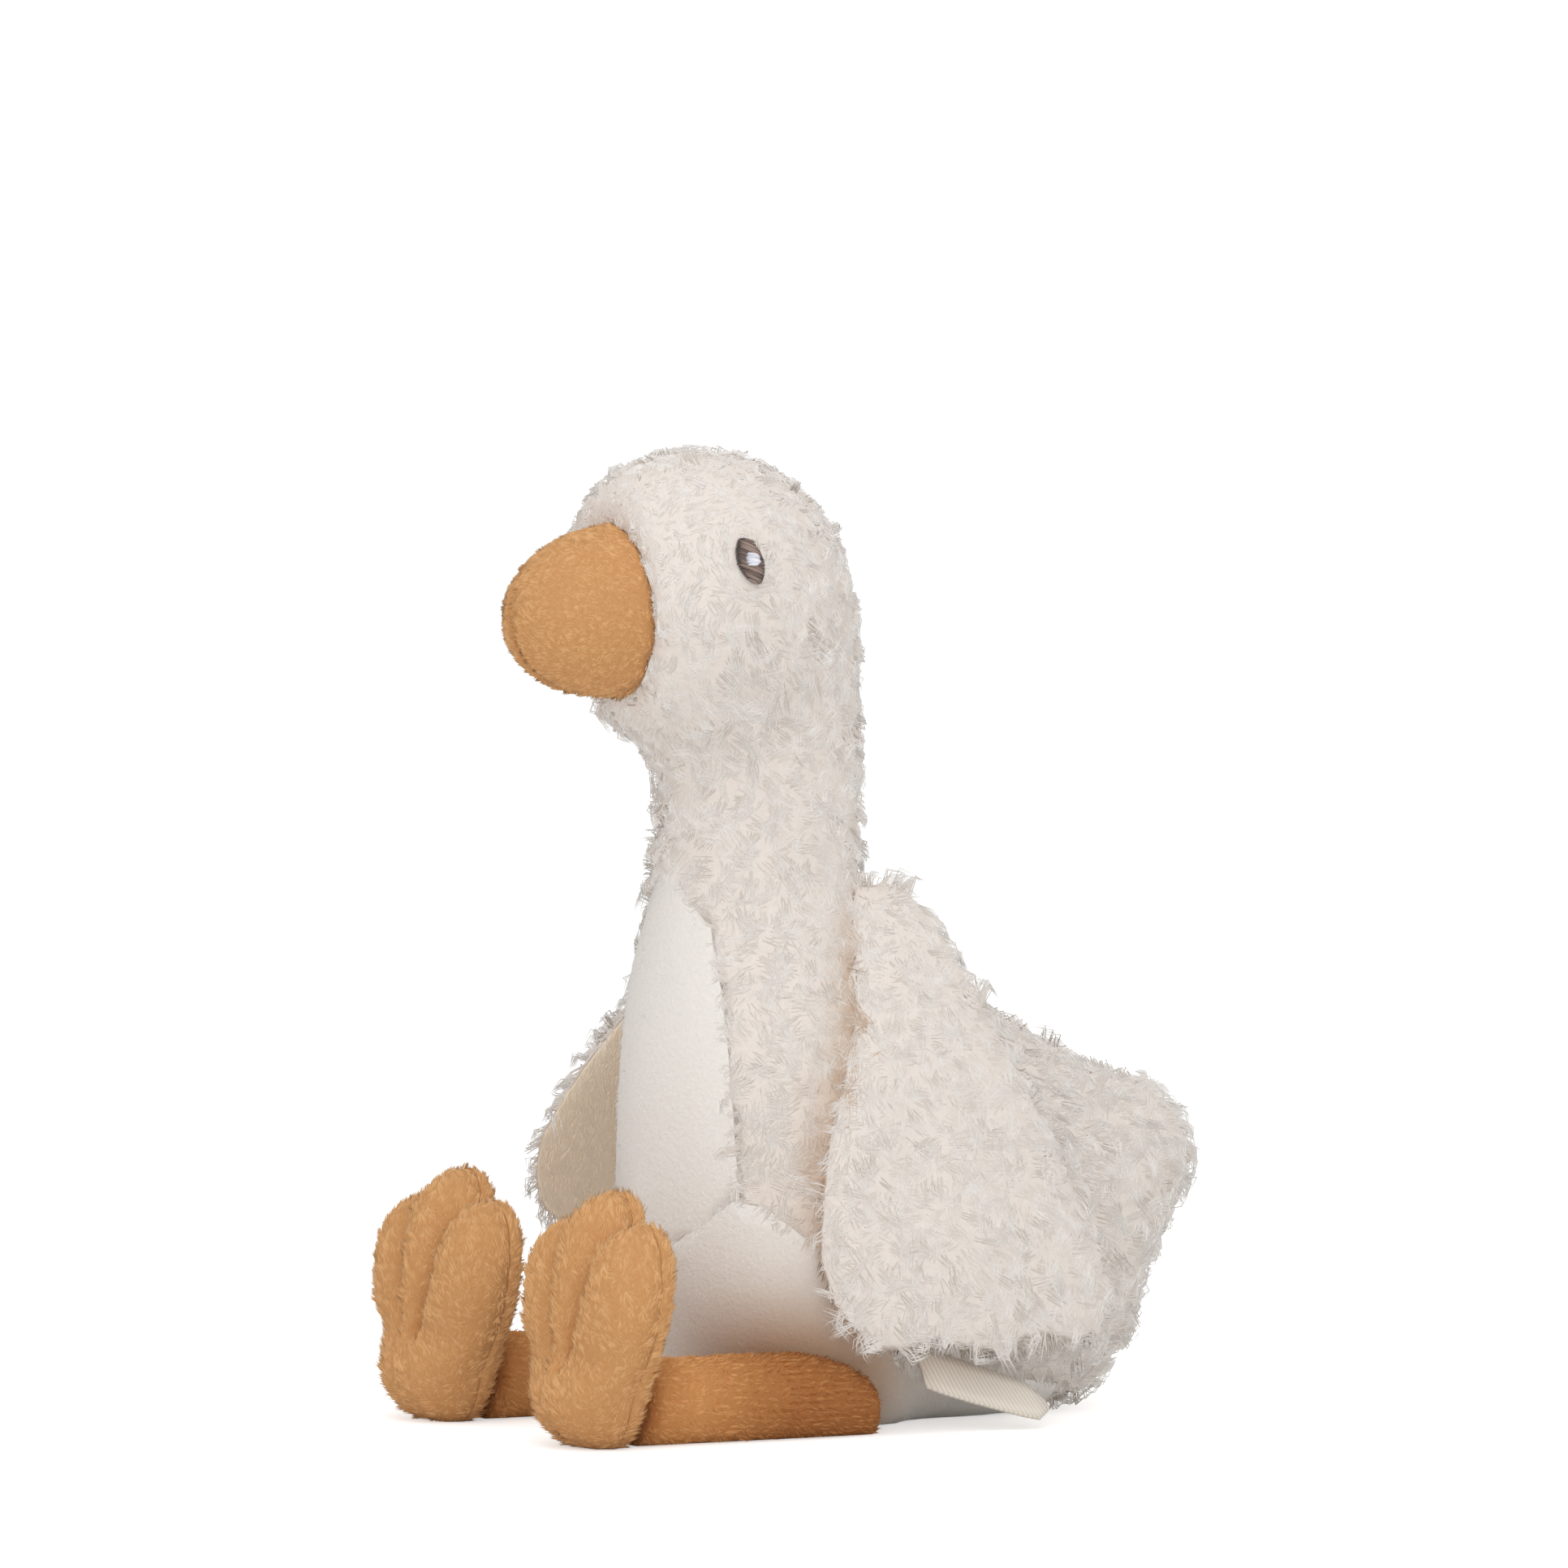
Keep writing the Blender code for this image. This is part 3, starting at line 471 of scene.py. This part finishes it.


# Finishes

# The last colour of each pile and backing is its painted shade, where pieces meet.
# Fleece of crimped locks, nearly white at the tips and a painted beige shade at the roots, and the knit
# under it.
FLEECE = pile("curly_polyester_fleece", "#D7CCC2", "#FBFAF9", "#E6DED6", "#C6AA92", 0.9, 9.0)
FLEECE_BACK = backing("fleece_knit_backing", "#EAE2DB", "#DCD1C8", "#BC9F86", 1.6, 0.6)

# Smooth plush of the belly and the seat: nearly white and even.
PLUSH = pile("short_polyester_plush", "#E8E4DF", "#FAF8F6", "#E9E5E0", "#A88464", 0.92, 14.0)
PLUSH_BACK = backing("plush_knit_backing", "#EDE9E4", "#E1DBD4", "#A88464", 0.9, 0.3)

# Plush inside the wings: a warmer cream, brushed flat.
LINING = pile("brushed_polyester_plush", "#FBEAD2", "#FFF9EC", "#F8E6CC", "#D0A47C", 0.92, 12.0)
LINING_BACK = backing("lining_knit_backing", "#F8EAD6", "#EFDDC6", "#D0A47C", 0.9, 0.3)

# Orange velour of the beak and the feet: flecks of paler and deeper nap.
VELOUR = pile(
    "orange_polyester_velour", "#D1985F", "#EDC08F", "#BA7C46", "#96582A", 0.85, 3.5, 0.95, 0.30
)
VELOUR_BACK = backing("velour_knit_backing", "#D29E6A", "#B88352", "#96582A", 0.8, 0.4)

# A darker copy of the velour for the legs: painted shade under the body.
SHADED_VELOUR = pile(
    "orange_velour_painted_shade", "#D18C51", "#EDB981", "#B5713A", "#82441D", 0.85, 3.5, 0.95, 0.30
)
SHADED_VELOUR_BACK = backing("velour_knit_backing_painted_shade", "#D3985F", "#B67E48", "#82441D", 0.8, 0.4)

# Threads of the eyes, with a painted soft shine, and the ribbed ribbon of the label.
BROWN_FLOSS = floss("brown_rayon_floss", "#A38C7F", "#2E1D17", 0.5)
WHITE_FLOSS = floss("white_rayon_floss", "#F4F4FA", "#BDBDCC", 0.45)
RIBBON = twill("cotton_twill_ribbon", "#EDE5D9", "#DACFC2", 0.9)


# Where each cloth begins and ends

def inside(outline, a, b):
    """Which points (a, b) lie in an outline: a line from them to one side crosses it an odd number of
    times."""
    outline = np.asarray(outline)
    crossed = np.zeros(len(a), bool)
    for (x0, y0), (x1, y1) in zip(outline, np.roll(outline, -1, axis=0)):
        spans = (y0 > b) != (y1 > b)
        if y0 != y1:
            crossed ^= spans & (a < (x1 - x0) * (b - y0) / (y1 - y0) + x0)
    return crossed


def belly_leaf(grow):
    """The belly panel's edge from the front, as x and z: half width falls with the cube of height."""
    bottom, tall, half_width = 0.013, 0.099, 0.0255
    share = np.linspace(0, 1, 17)
    height = bottom + share * tall
    width = half_width * np.sqrt(1 - share**3) * (1 - 0.12 * share) + grow
    return np.concatenate([np.stack([width, height], 1), np.stack([-width[::-1], height[::-1]], 1)])


def seat_edge(grow):
    """The seat panel's edge from the side, as y and z, with its arch over the thigh."""
    front, back, below = -0.3, 0.0552, -0.02
    arch = [
        (-0.0332, 0.033), (-0.0255, 0.0428), (-0.0228, 0.046), (-0.0182, 0.0451), (-0.0084, 0.0368),
        (0.0, 0.0253), (0.014, 0.0125),
    ]
    top = [(front, 0.033), *arch, (back + grow, 0.006)]
    return [(front, below), *((y, z + grow) for y, z in top), (back + grow, below)]


def on_panels(spot, grow):
    """Which points lie on the belly panel or the seat panel, with its edge moved out by grow."""
    belly = inside(belly_leaf(grow), spot[:, 0], spot[:, 2]) & (spot[:, 1] < 0)
    return belly | inside(seat_edge(grow), spot[:, 1], spot[:, 2])


def on_eyes(spot):
    """Which points of the body lie under an eye: inside an ellipse round it, seen from its own side."""
    covered = np.zeros(len(spot), bool)
    margin = 0.0012
    for word, side in SIDES:
        low, high = (np.array(corner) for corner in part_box(f"eye_{word}"))
        middle, half = (low + high) / 2, (high - low) / 2
        off = (((spot - middle) / (half + margin)) ** 2)[:, 1:].sum(1)
        covered |= (off < 0.8) & (spot[:, 0] * side > 0)
    return covered


# Coat

def comb_of_coat(spot):
    """The lie of the coat: back from the beak over the head, then down, turning back along the tail,
    and inwards over the edges of the belly panel."""
    face_reach, tail_start, tail_turn = 0.045, 0.030, 0.03
    edge_reach, above_seat = 0.0040, 0.035
    from_beak = unit(spot - BEAK)
    face = np.clip(1 - np.linalg.norm(spot - BEAK, axis=1) / face_reach, 0, 1)[:, None]
    tail = ramp(spot[:, 1:2], tail_start, tail_turn)
    down = np.array([0.0, 0.12, -1.0])
    back = np.array([0.0, 1.0, -0.35])
    flow = face * from_beak * 1.4 + (1 - face) * ((1 - tail) * down + tail * back)
    beside_belly = on_panels(spot, edge_reach) & (spot[:, 2] > above_seat) & (spot[:, 1] < 0)
    flow[beside_belly, 0] -= 1.5 * np.sign(spot[beside_belly, 0])
    return flow


def near_wings(points):
    """Painted shade, deep where the body meets a wing, fading out up on the shoulder."""
    shoulder_top, fade = 0.108, 0.015
    under_shoulder = ramp(-points[:, 2], -shoulder_top, fade)
    return 0.85 * beside(points, 0.0050, "wing_left", "wing_right") * under_shoulder


def coat_roots():
    """Where the fleece stands on the body, and which way it faces: more densely beside the seams of
    the panels, and neither in their beds nor where the beak and the eyes are stitched on. Beside a
    panel it turns away from the body's upright middle line, out of the bed."""
    seam_width, wall_width, panel_reach = 0.0016, 0.0009, 0.0030
    beak_radius, beak_back = 0.0160, -0.030
    places, faces = merged("body")
    spot, up = scatter(places, faces, COAT_FIBRES, 11)
    seam_spot, seam_up = scatter(places, faces, SEAM_FIBRES, 12)
    seam = on_panels(seam_spot, seam_width)
    spot, up = np.concatenate([spot, seam_spot[seam]]), np.concatenate([up, seam_up[seam]])
    outward = unit(spot * [1, 1, 0] - [0, 0.010, 0])
    walls = on_panels(spot, wall_width) & ((up * outward).sum(1) < 0.6)
    from_axis = np.hypot(spot[:, 0], spot[:, 2] - BEAK[2])
    under_beak = (from_axis < beak_radius) & (spot[:, 1] < beak_back)
    free = ~(on_panels(spot, -PANEL_GROWTH) | walls | under_beak | on_eyes(spot))
    spot, up, outward = spot[free], up[free], outward[free]
    near_panel = on_panels(spot, panel_reach)
    up[near_panel] = unit(up[near_panel] + 2 * outward[near_panel])
    return spot, up, near_panel


def make_coat():
    """The fleece, cut into head, neck, two sides and tail, shorter on crown and nape, round the beak
    and beside the panels."""
    head_base, neck_base, neck_back, tail_front = 0.139, 0.086, 0.025, 0.036
    settle(skin("coat_skin", "body", FLEECE_BACK, near_wings), "curly_plush", "body", fill=0.9)
    spot, up, near_panel = coat_roots()
    flow = comb_of_coat(spot)
    x, y, z = spot.T
    crown = ramp(z, 0.160, 0.025)
    nape = ramp(y, 0.0, 0.02) * (z > 0.09)
    from_beak = np.linalg.norm(spot - BEAK, axis=1)
    length = FLEECE_LENGTH - CROWN_SHEARED * np.maximum(crown, nape)
    length *= np.maximum(ramp(from_beak, 0.008, 0.020), 0.4)
    length[near_panel] *= 0.65
    # Painted shade on the body's fleece below the wings.
    shadow = near_wings(spot)
    head, neck, tail = z > head_base, (z > neck_base) & (y < neck_back), y > tail_front
    zone = np.select([head, neck, tail, x > 0], [0, 1, 4, 2], 3)
    for index, word in enumerate(("head", "neck", "side_left", "side_right", "tail")):
        here = zone == index
        piece = locks(
            f"fleece_{word}", spot[here], up[here], flow[here], FLEECE, 20 + index,
            length=length[here], painted_shade=shadow[here], **CURL,
        )
        settle(piece, "curly_plush")


# Wings

def near_body(points):
    """Painted shade, deep where a wing's lining comes near the body."""
    return 0.65 * beside(points, 0.009, "body")


def make_wing_fleece(word, side):
    """Fleece on the wing's outer face and, more densely, its rim. It fans out towards the hem: its
    slant is 1.6 times the square of how far back it stands for its depth below the wing's root. Up
    on the shoulder it lies back instead."""
    rim_slope, turned_in, shoulder_base, shoulder_rise = 0.4, -0.35, 0.098, 0.012
    places, faces = merged(f"wing_{word}")
    spot, up = scatter(places, faces, COAT_FIBRES, 31 + side)
    rim_spot, rim_up = scatter(places, faces, RIM_FIBRES, 131 + side)
    rim = np.abs(rim_up[:, 0]) < rim_slope
    spot, up = np.concatenate([spot, rim_spot[rim]]), np.concatenate([up, rim_up[rim]])
    outer = up[:, 0] * side > turned_in
    spot, up = spot[outer], up[outer]
    fan = (spot[:, 1] - WING_ROOT_Y) / np.maximum(WING_ROOT_Z - spot[:, 2], 0.02)
    flow = np.stack([0 * fan, 1.6 * fan * np.abs(fan), 0 * fan - 1.0], axis=1)
    shoulder = ramp(spot[:, 2:], shoulder_base, shoulder_rise)
    flow = (1 - shoulder) * flow + shoulder * np.array([0.0, 0.6, 0.4])
    piece = locks(
        f"fleece_wing_{word}", spot, up, flow, FLEECE, 33 + side,
        length=np.full(len(spot), FLEECE_LENGTH), **CURL,
    )
    settle(piece, "curly_plush")


def make_wing_nap(word, side):
    """Short plush on the wing's inner face, lying down, with painted shade near the body."""
    places, faces = merged(f"wing_lining_{word}")
    spot, up = scatter(places, faces, LINING_FIBRES, 36 + side)
    inner = up[:, 0] * side < -0.05
    spot, up = spot[inner], up[inner]
    piece = locks(
        f"plush_wing_lining_{word}", spot, up, np.tile(-UP, (len(spot), 1)), LINING, 38 + side,
        length=np.full(len(spot), LINING_NAP), painted_shade=near_body(spot), **SHORT,
    )
    settle(piece, "smooth_plush")


def make_wings():
    """The wings: long fleece outside and short soft plush inside."""
    for word, side in SIDES:
        outside, lining = f"wing_{word}", f"wing_lining_{word}"
        settle(skin(f"{outside}_skin", outside, FLEECE_BACK), "curly_plush", outside, fill=0.4)
        settle(skin(f"{lining}_skin", lining, LINING_BACK, near_body), "smooth_plush", lining, fill=0.3)
        make_wing_fleece(word, side)
        make_wing_nap(word, side)


# Panels

def near_legs(points):
    """Painted shade, deep where a panel comes near the legs."""
    return 0.9 * beside(points, 0.0125, "leg_left", "leg_right")


def make_panels():
    """The smooth panels of the belly and the seat, drawn over their seams, with painted shade by the legs.
    Nap stands on the faces that turn away from the body's middle, and is twice as long at the seam
    between the panels."""
    belly, seat = "belly_panel", "seat_panel"
    for node, other, middle, seed in ((belly, seat, (0, 0, 0.06), 52), (seat, belly, (0, 0.015, 0.045), 51)):
        ground = skin(f"{node}_skin", node, PLUSH_BACK, near_legs, PANEL_GROWTH)
        settle(ground, "smooth_plush", node, fill=0.9)
        places, faces = merged(node)
        spot, up = scatter(places, faces, PANEL_FIBRES, seed)
        outer = (up * (spot - np.array(middle))).sum(1) > 0.001
        spot, up = spot[outer], up[outer]
        piece = locks(
            f"plush_{node}", spot, up, 0.3 * unit(spot) - UP, PLUSH, seed + 2,
            length=PANEL_NAP * (1 + beside(spot, 0.0020, other)), painted_shade=near_legs(spot), **SHORT,
        )
        settle(piece, "smooth_plush")


# Beak, legs and feet

def wales(spot):
    """Lines of the knit along a leg, 1.4 mm apart round it and a little wavy, from -1 to 1. The leg's
    middle is a straight line through its points. Returns the lines and the leg's own direction."""
    apart = 0.0014
    slopes = [np.polyfit(spot[:, 1], spot[:, i], 1) for i in (0, 2)]
    x, z = (spot[:, i] - np.polyval(slope, spot[:, 1]) for i, slope in zip((0, 2), slopes))
    round_leg = np.arctan2(z, x) * np.hypot(x, z).mean()
    lines = np.sin(2 * math.pi * round_leg / apart + 1.1 * np.sin(spot[:, 1] / 0.0040))
    return lines, (slopes[0][0], 1.0, slopes[1][0])


def velour_roots(node, fibres, seed):
    """Where the nap stands on a piece, which way it faces and how hollow the piece is there."""
    places, faces = merged(node)
    return scatter(places, faces, fibres, seed, hollows(places, faces))


def make_beak():
    """The beak: close nap that runs to its tip, parted along the seam down its middle, with painted
    shade in that seam and its hollows and painted light on its crests.
    """
    seam_half, seam_top, seam_back, sewn_on = 0.0006, 0.004, -0.045, -0.0335
    settle(skin("beak_skin", "beak", VELOUR_BACK), "orange_plush", "beak", fill=0.95)
    spot, up, hollow = velour_roots("beak", BEAK_FIBRES, 51)
    x, y, z = spot.T
    on_seam = (np.abs(x) < seam_half) & (z < BEAK[2] + seam_top) & (y < seam_back)
    free = (y < sewn_on) & ~on_seam
    spot, up, hollow = spot[free], up[free], hollow[free]
    # Painted shade along the beak's middle seam.
    seam_shadow = 0.8 * np.exp(-((spot[:, 0] / 0.0010) ** 2)) * (spot[:, 2] < BEAK[2] + 0.005)
    # Painted shade in the hollows and painted light on the crests, through the shade argument.
    piece = locks(
        "nap_beak", spot, up, np.tile((0, -1.0, 0.15), (len(spot), 1)), VELOUR, 61,
        length=np.full(len(spot), BEAK_NAP), shade=0.7 * hollow, vary=0.25, painted_shade=seam_shadow, **NAP,
    )
    settle(piece, "orange_plush")


def make_limb(node, neighbours, twin, lie, shade, long, index):
    """A leg or half a foot: short dense nap that runs along it, with painted shade in its folds and
    painted light on its crests. A leg has the lines of its knit, and a half foot is paler at the seam
    with its twin, the other half, and has no nap on the face between them."""
    is_leg = twin is None
    # Legs take the darker velour copies, painted shade under the body.
    ground, top = (SHADED_VELOUR_BACK, SHADED_VELOUR) if is_leg else (VELOUR_BACK, VELOUR)

    def painted_shade(points):
        """Painted shade: deep beside its neighbours, and on a leg deeper towards the seat, under the body.
        """
        flat_start, flat_turn = -0.040, 0.020
        # On a leg, painted shade that deepens towards the seat.
        flat = 0.64 * is_leg * ramp(points[:, 1], flat_start, flat_turn)
        return np.maximum(0.8 * beside(points, 0.0045, *neighbours), flat)

    grow = 0.0 if is_leg else FOOT_GROWTH
    settle(skin(f"{node}_skin", node, ground, painted_shade, grow), "orange_plush", node, fill=0.8)
    spot, up, hollow = velour_roots(node, LIMB_FIBRES, 51 + index)
    if not is_leg:
        between = up[:, 1] * (1 if "sole" in node else -1) >= 0.75
        spot, up, hollow = spot[~between], up[~between], hollow[~between]
    # Painted shade in folds and painted light on crests, from how hollow the piece is.
    tone = shade + 0.7 * hollow
    shadow = np.maximum(painted_shade(spot), 0.6 * np.clip(hollow - 0.1, 0, 1))
    if is_leg:
        lines, lie = wales(spot)
        shadow = np.clip(shadow + 0.22 * lines - 0.05, 0, 1)
    else:
        tone = tone - 0.15 * beside(spot, 0.0030, twin)
    piece = locks(
        f"nap_{node}", spot, up, np.tile(lie, (len(spot), 1)), top, 61 + index,
        length=np.full(len(spot), long), shade=tone, vary=0.25 if is_leg else 0.35, painted_shade=shadow, **NAP,
    )
    settle(piece, "orange_plush")


def make_limbs():
    """The legs and the two halves of each foot. The right foot is a little darker."""
    index = 1
    # The right foot's nap is toned a little darker.
    for word, darkened in (("left", 0.0), ("right", 0.12)):
        leg, sole, upper = f"leg_{word}", f"foot_sole_{word}", f"foot_upper_{word}"
        make_limb(leg, ("seat_panel", upper), None, (0, 1.0, 0.0), 0.05, LEG_NAP, index)
        make_limb(sole, (leg,), upper, (0, -0.1, 1.0), 0.02 + darkened, FOOT_NAP, index + 1)
        make_limb(upper, (leg,), sole, (0, 0.1, 1.0), 0.06 + darkened, FOOT_NAP, index + 2)
        index += 3


# Eyes

def stitches(name, node, side_of_goose, tilt, pitch, material, seed):
    """Satin stitch: threads laid side by side across the node's outer face. Each is a round strand
    from edge to edge, a pitch from the next, high in its middle and sunk at both ends."""
    marks_per_cm2, ragged, thread_rise = 24000, 0.00040, 0.0003
    spot, up = scatter(*merged(node), marks_per_cm2, seed)
    front = up[:, 0] * side_of_goose > 0.6
    spot, out = spot[front], unit(up[front].mean(0))
    middle = spot.mean(0)
    high = unit(UP - (UP @ out) * out)
    level = np.cross(high, out)
    run = math.cos(tilt) * level + math.sin(tilt) * high
    over = np.cross(out, run)
    along, across, depth = ((spot - middle) @ way for way in (run, over, out))
    rows = np.arange(across.min() + 0.4 * pitch, across.max() - 0.3 * pitch, pitch)
    near = np.abs(across[None] - rows[:, None]) < 0.6 * pitch
    start = np.where(near, along[None], np.inf).min(1)
    end = np.where(near, along[None], -np.inf).max(1)
    rng = np.random.default_rng(seed)
    start -= rng.uniform(0, ragged, len(rows))
    end += rng.uniform(0, ragged, len(rows))
    t = np.linspace(0, 1, 8)[None]
    a = start[:, None] + (end - start)[:, None] * t
    b = rows[:, None] + 0.25 * pitch * np.sin(math.pi * t + rng.uniform(0, 6.28, len(rows))[:, None])
    found = nearest(np.stack([a.ravel(), b.ravel()], 1), np.stack([along, across], 1))
    height = depth[found].reshape(a.shape) + thread_rise * (np.sin(math.pi * t) ** 0.6 - (t > 0.99))
    path = middle + a[..., None] * run + b[..., None] * over + height[..., None] * out
    side, facing = (np.tile(way, (len(rows), 1)) for way in (over, out))
    # Painted highlight along the middle of each stitch, painted shade at its sunk ends.
    shine = np.sin(math.pi * t[0]) ** 0.5
    profile = [0.6, 0.95, 1.0, 1.05, 1.05, 1.0, 0.9]
    thick = np.full(len(rows), 1.12 * pitch)
    tones = rng.uniform(0.25, 1, len(rows))
    return strands(name, path, side, facing, thick, profile, material, shine, tones, 8, 0.0)


def make_eyes():
    """Upright almonds of brown satin stitch with a round white glint stitched on top."""
    pitch = 0.00042
    for word, side in SIDES:
        for node, slot, thread, tilt in (
            (f"eye_{word}", "brown_thread", BROWN_FLOSS, -0.45),
            (f"eye_glint_{word}", "white_thread", WHITE_FLOSS, -0.15),
        ):
            settle(skin(f"{node}_ground", node, thread), slot, node)
            settle(stitches(f"{node}_stitches", node, side, tilt * side, pitch, thread, 81 + side), slot)


# Label

def make_label():
    """A folded ribbon. Its own flat measure, in metres along its length and its width, carries the weave."""
    places, faces = merged("label")
    piece = mesh_from("label_ribbon", places, NO_QUADS, faces, RIBBON)
    mesh = piece.data
    from_middle = places - places.mean(0)
    ways = np.linalg.svd(from_middle, full_matrices=False)[2][:2]
    loops = np.empty(len(mesh.loops), np.int32)
    mesh.loops.foreach_get("vertex_index", loops)
    flat = (from_middle @ ways.T)[loops]
    mesh.uv_layers.new(name="cut").data.foreach_set("uv", flat.astype(np.float32).ravel())
    settle(piece, "ecru_ribbon", "label")


# Studio

def seen_rays(tree):
    """1 for rays of the camera, of reflections and through glass, and 0 for rays that only light."""
    rays = add(tree, "ShaderNodeLightPath").outputs
    seen = add(tree, "ShaderNodeMath", MAXIMUM, n0=rays["Is Camera Ray"], n1=rays["Is Glossy Ray"])
    seen = add(tree, "ShaderNodeMath", MAXIMUM, n0=seen.outputs[0], n1=rays["Is Transmission Ray"])
    return seen.outputs[0]


def make_stage():
    """A wide pale floor that keeps a soft shadow, under an even white room. What is seen of the room
    is white, and what it lights with is weaker."""
    reach, floor_glow, room_light = 30.0, 0.46, 0.62
    material, tree, shader = finish("pale_studio_floor", 0.95, 0.1)
    shader.inputs["Base Color"].default_value = linear("#F4F4F3")
    glow = add(tree, "ShaderNodeMath", MULTIPLY, n0=seen_rays(tree), n1=floor_glow)
    shader.inputs["Emission Color"].default_value = (1, 1, 1, 1)
    tree.links.new(glow.outputs[0], shader.inputs["Emission Strength"])
    corners = reach * np.array([[-1, -1, 0], [1, -1, 0], [1, 1, 0], [-1, 1, 0]])
    floor = mesh_from("studio_floor", corners, np.array([[0, 1, 2, 3]]), NO_TRIANGLES, material)

    world = bpy.data.worlds.new("studio")
    bpy.context.scene.world = world
    world.use_nodes = True
    tree = world.node_tree
    tree.nodes.clear()
    level = add(tree, "ShaderNodeMapRange", n0=seen_rays(tree), n1=0.0, n2=1.0, n3=room_light, n4=1.0)
    light = add(tree, "ShaderNodeBackground", n0=(1, 1, 1, 1), n1=level.outputs[0])
    add(tree, "ShaderNodeOutputWorld", n0=light.outputs[0])


def direction(back):
    """Euler angles of an object whose own +Z points along the given vector, with its +X level."""
    x, y, z = unit(np.array(back, float))
    return (math.acos(z), 0.0, math.atan2(x, -y))


def placed(name, data, place, back):
    """A lamp or the camera at its place, looking away from the direction back."""
    made = bpy.data.objects.new(name, data)
    bpy.context.scene.collection.objects.link(made)
    made.location = place
    made.rotation_euler = direction(back)
    return made


def make_lights():
    """Three round softboxes aimed at the breast, with their diameters and their power in watts."""
    breast = np.array([0, 0.01, 0.08])
    for name, place, diameter, watts in (
        ("overhead_softbox", (0.30, -0.10, 1.3), 1.3, 5.0),
        ("side_softbox", (1.40, -0.60, 0.62), 1.5, 7.6),
        ("front_softbox", (0.10, -1.50, 0.50), 1.2, 1.8),
    ):
        data = bpy.data.lights.new(name, "AREA")
        data.shape = "DISK"
        data.size = diameter
        data.energy = watts
        placed(name, data, place, np.array(place) - breast)


def make_camera():
    """Seen from the goose's left and front, just above level, from far off with a long lens."""
    azimuth, elevation, distance = math.radians(62.0), math.radians(3.6), 4.0
    aim = np.array([0.00045, 0.00086, 0.1269])
    sensor, width_in_view = 36.0, 0.3116
    back = np.array([
        math.sin(azimuth) * math.cos(elevation),
        -math.cos(azimuth) * math.cos(elevation),
        math.sin(elevation),
    ])
    data = bpy.data.cameras.new("camera")
    data.sensor_width = sensor
    data.lens = sensor * distance / width_in_view
    data.clip_end = 100.0
    bpy.context.scene.camera = placed("camera", data, aim + distance * back, back)


make_coat()
make_wings()
make_panels()
make_beak()
make_limbs()
make_eyes()
make_label()
make_stage()
make_lights()
make_camera()
bpy.context.scene.view_settings.view_transform = "Standard"
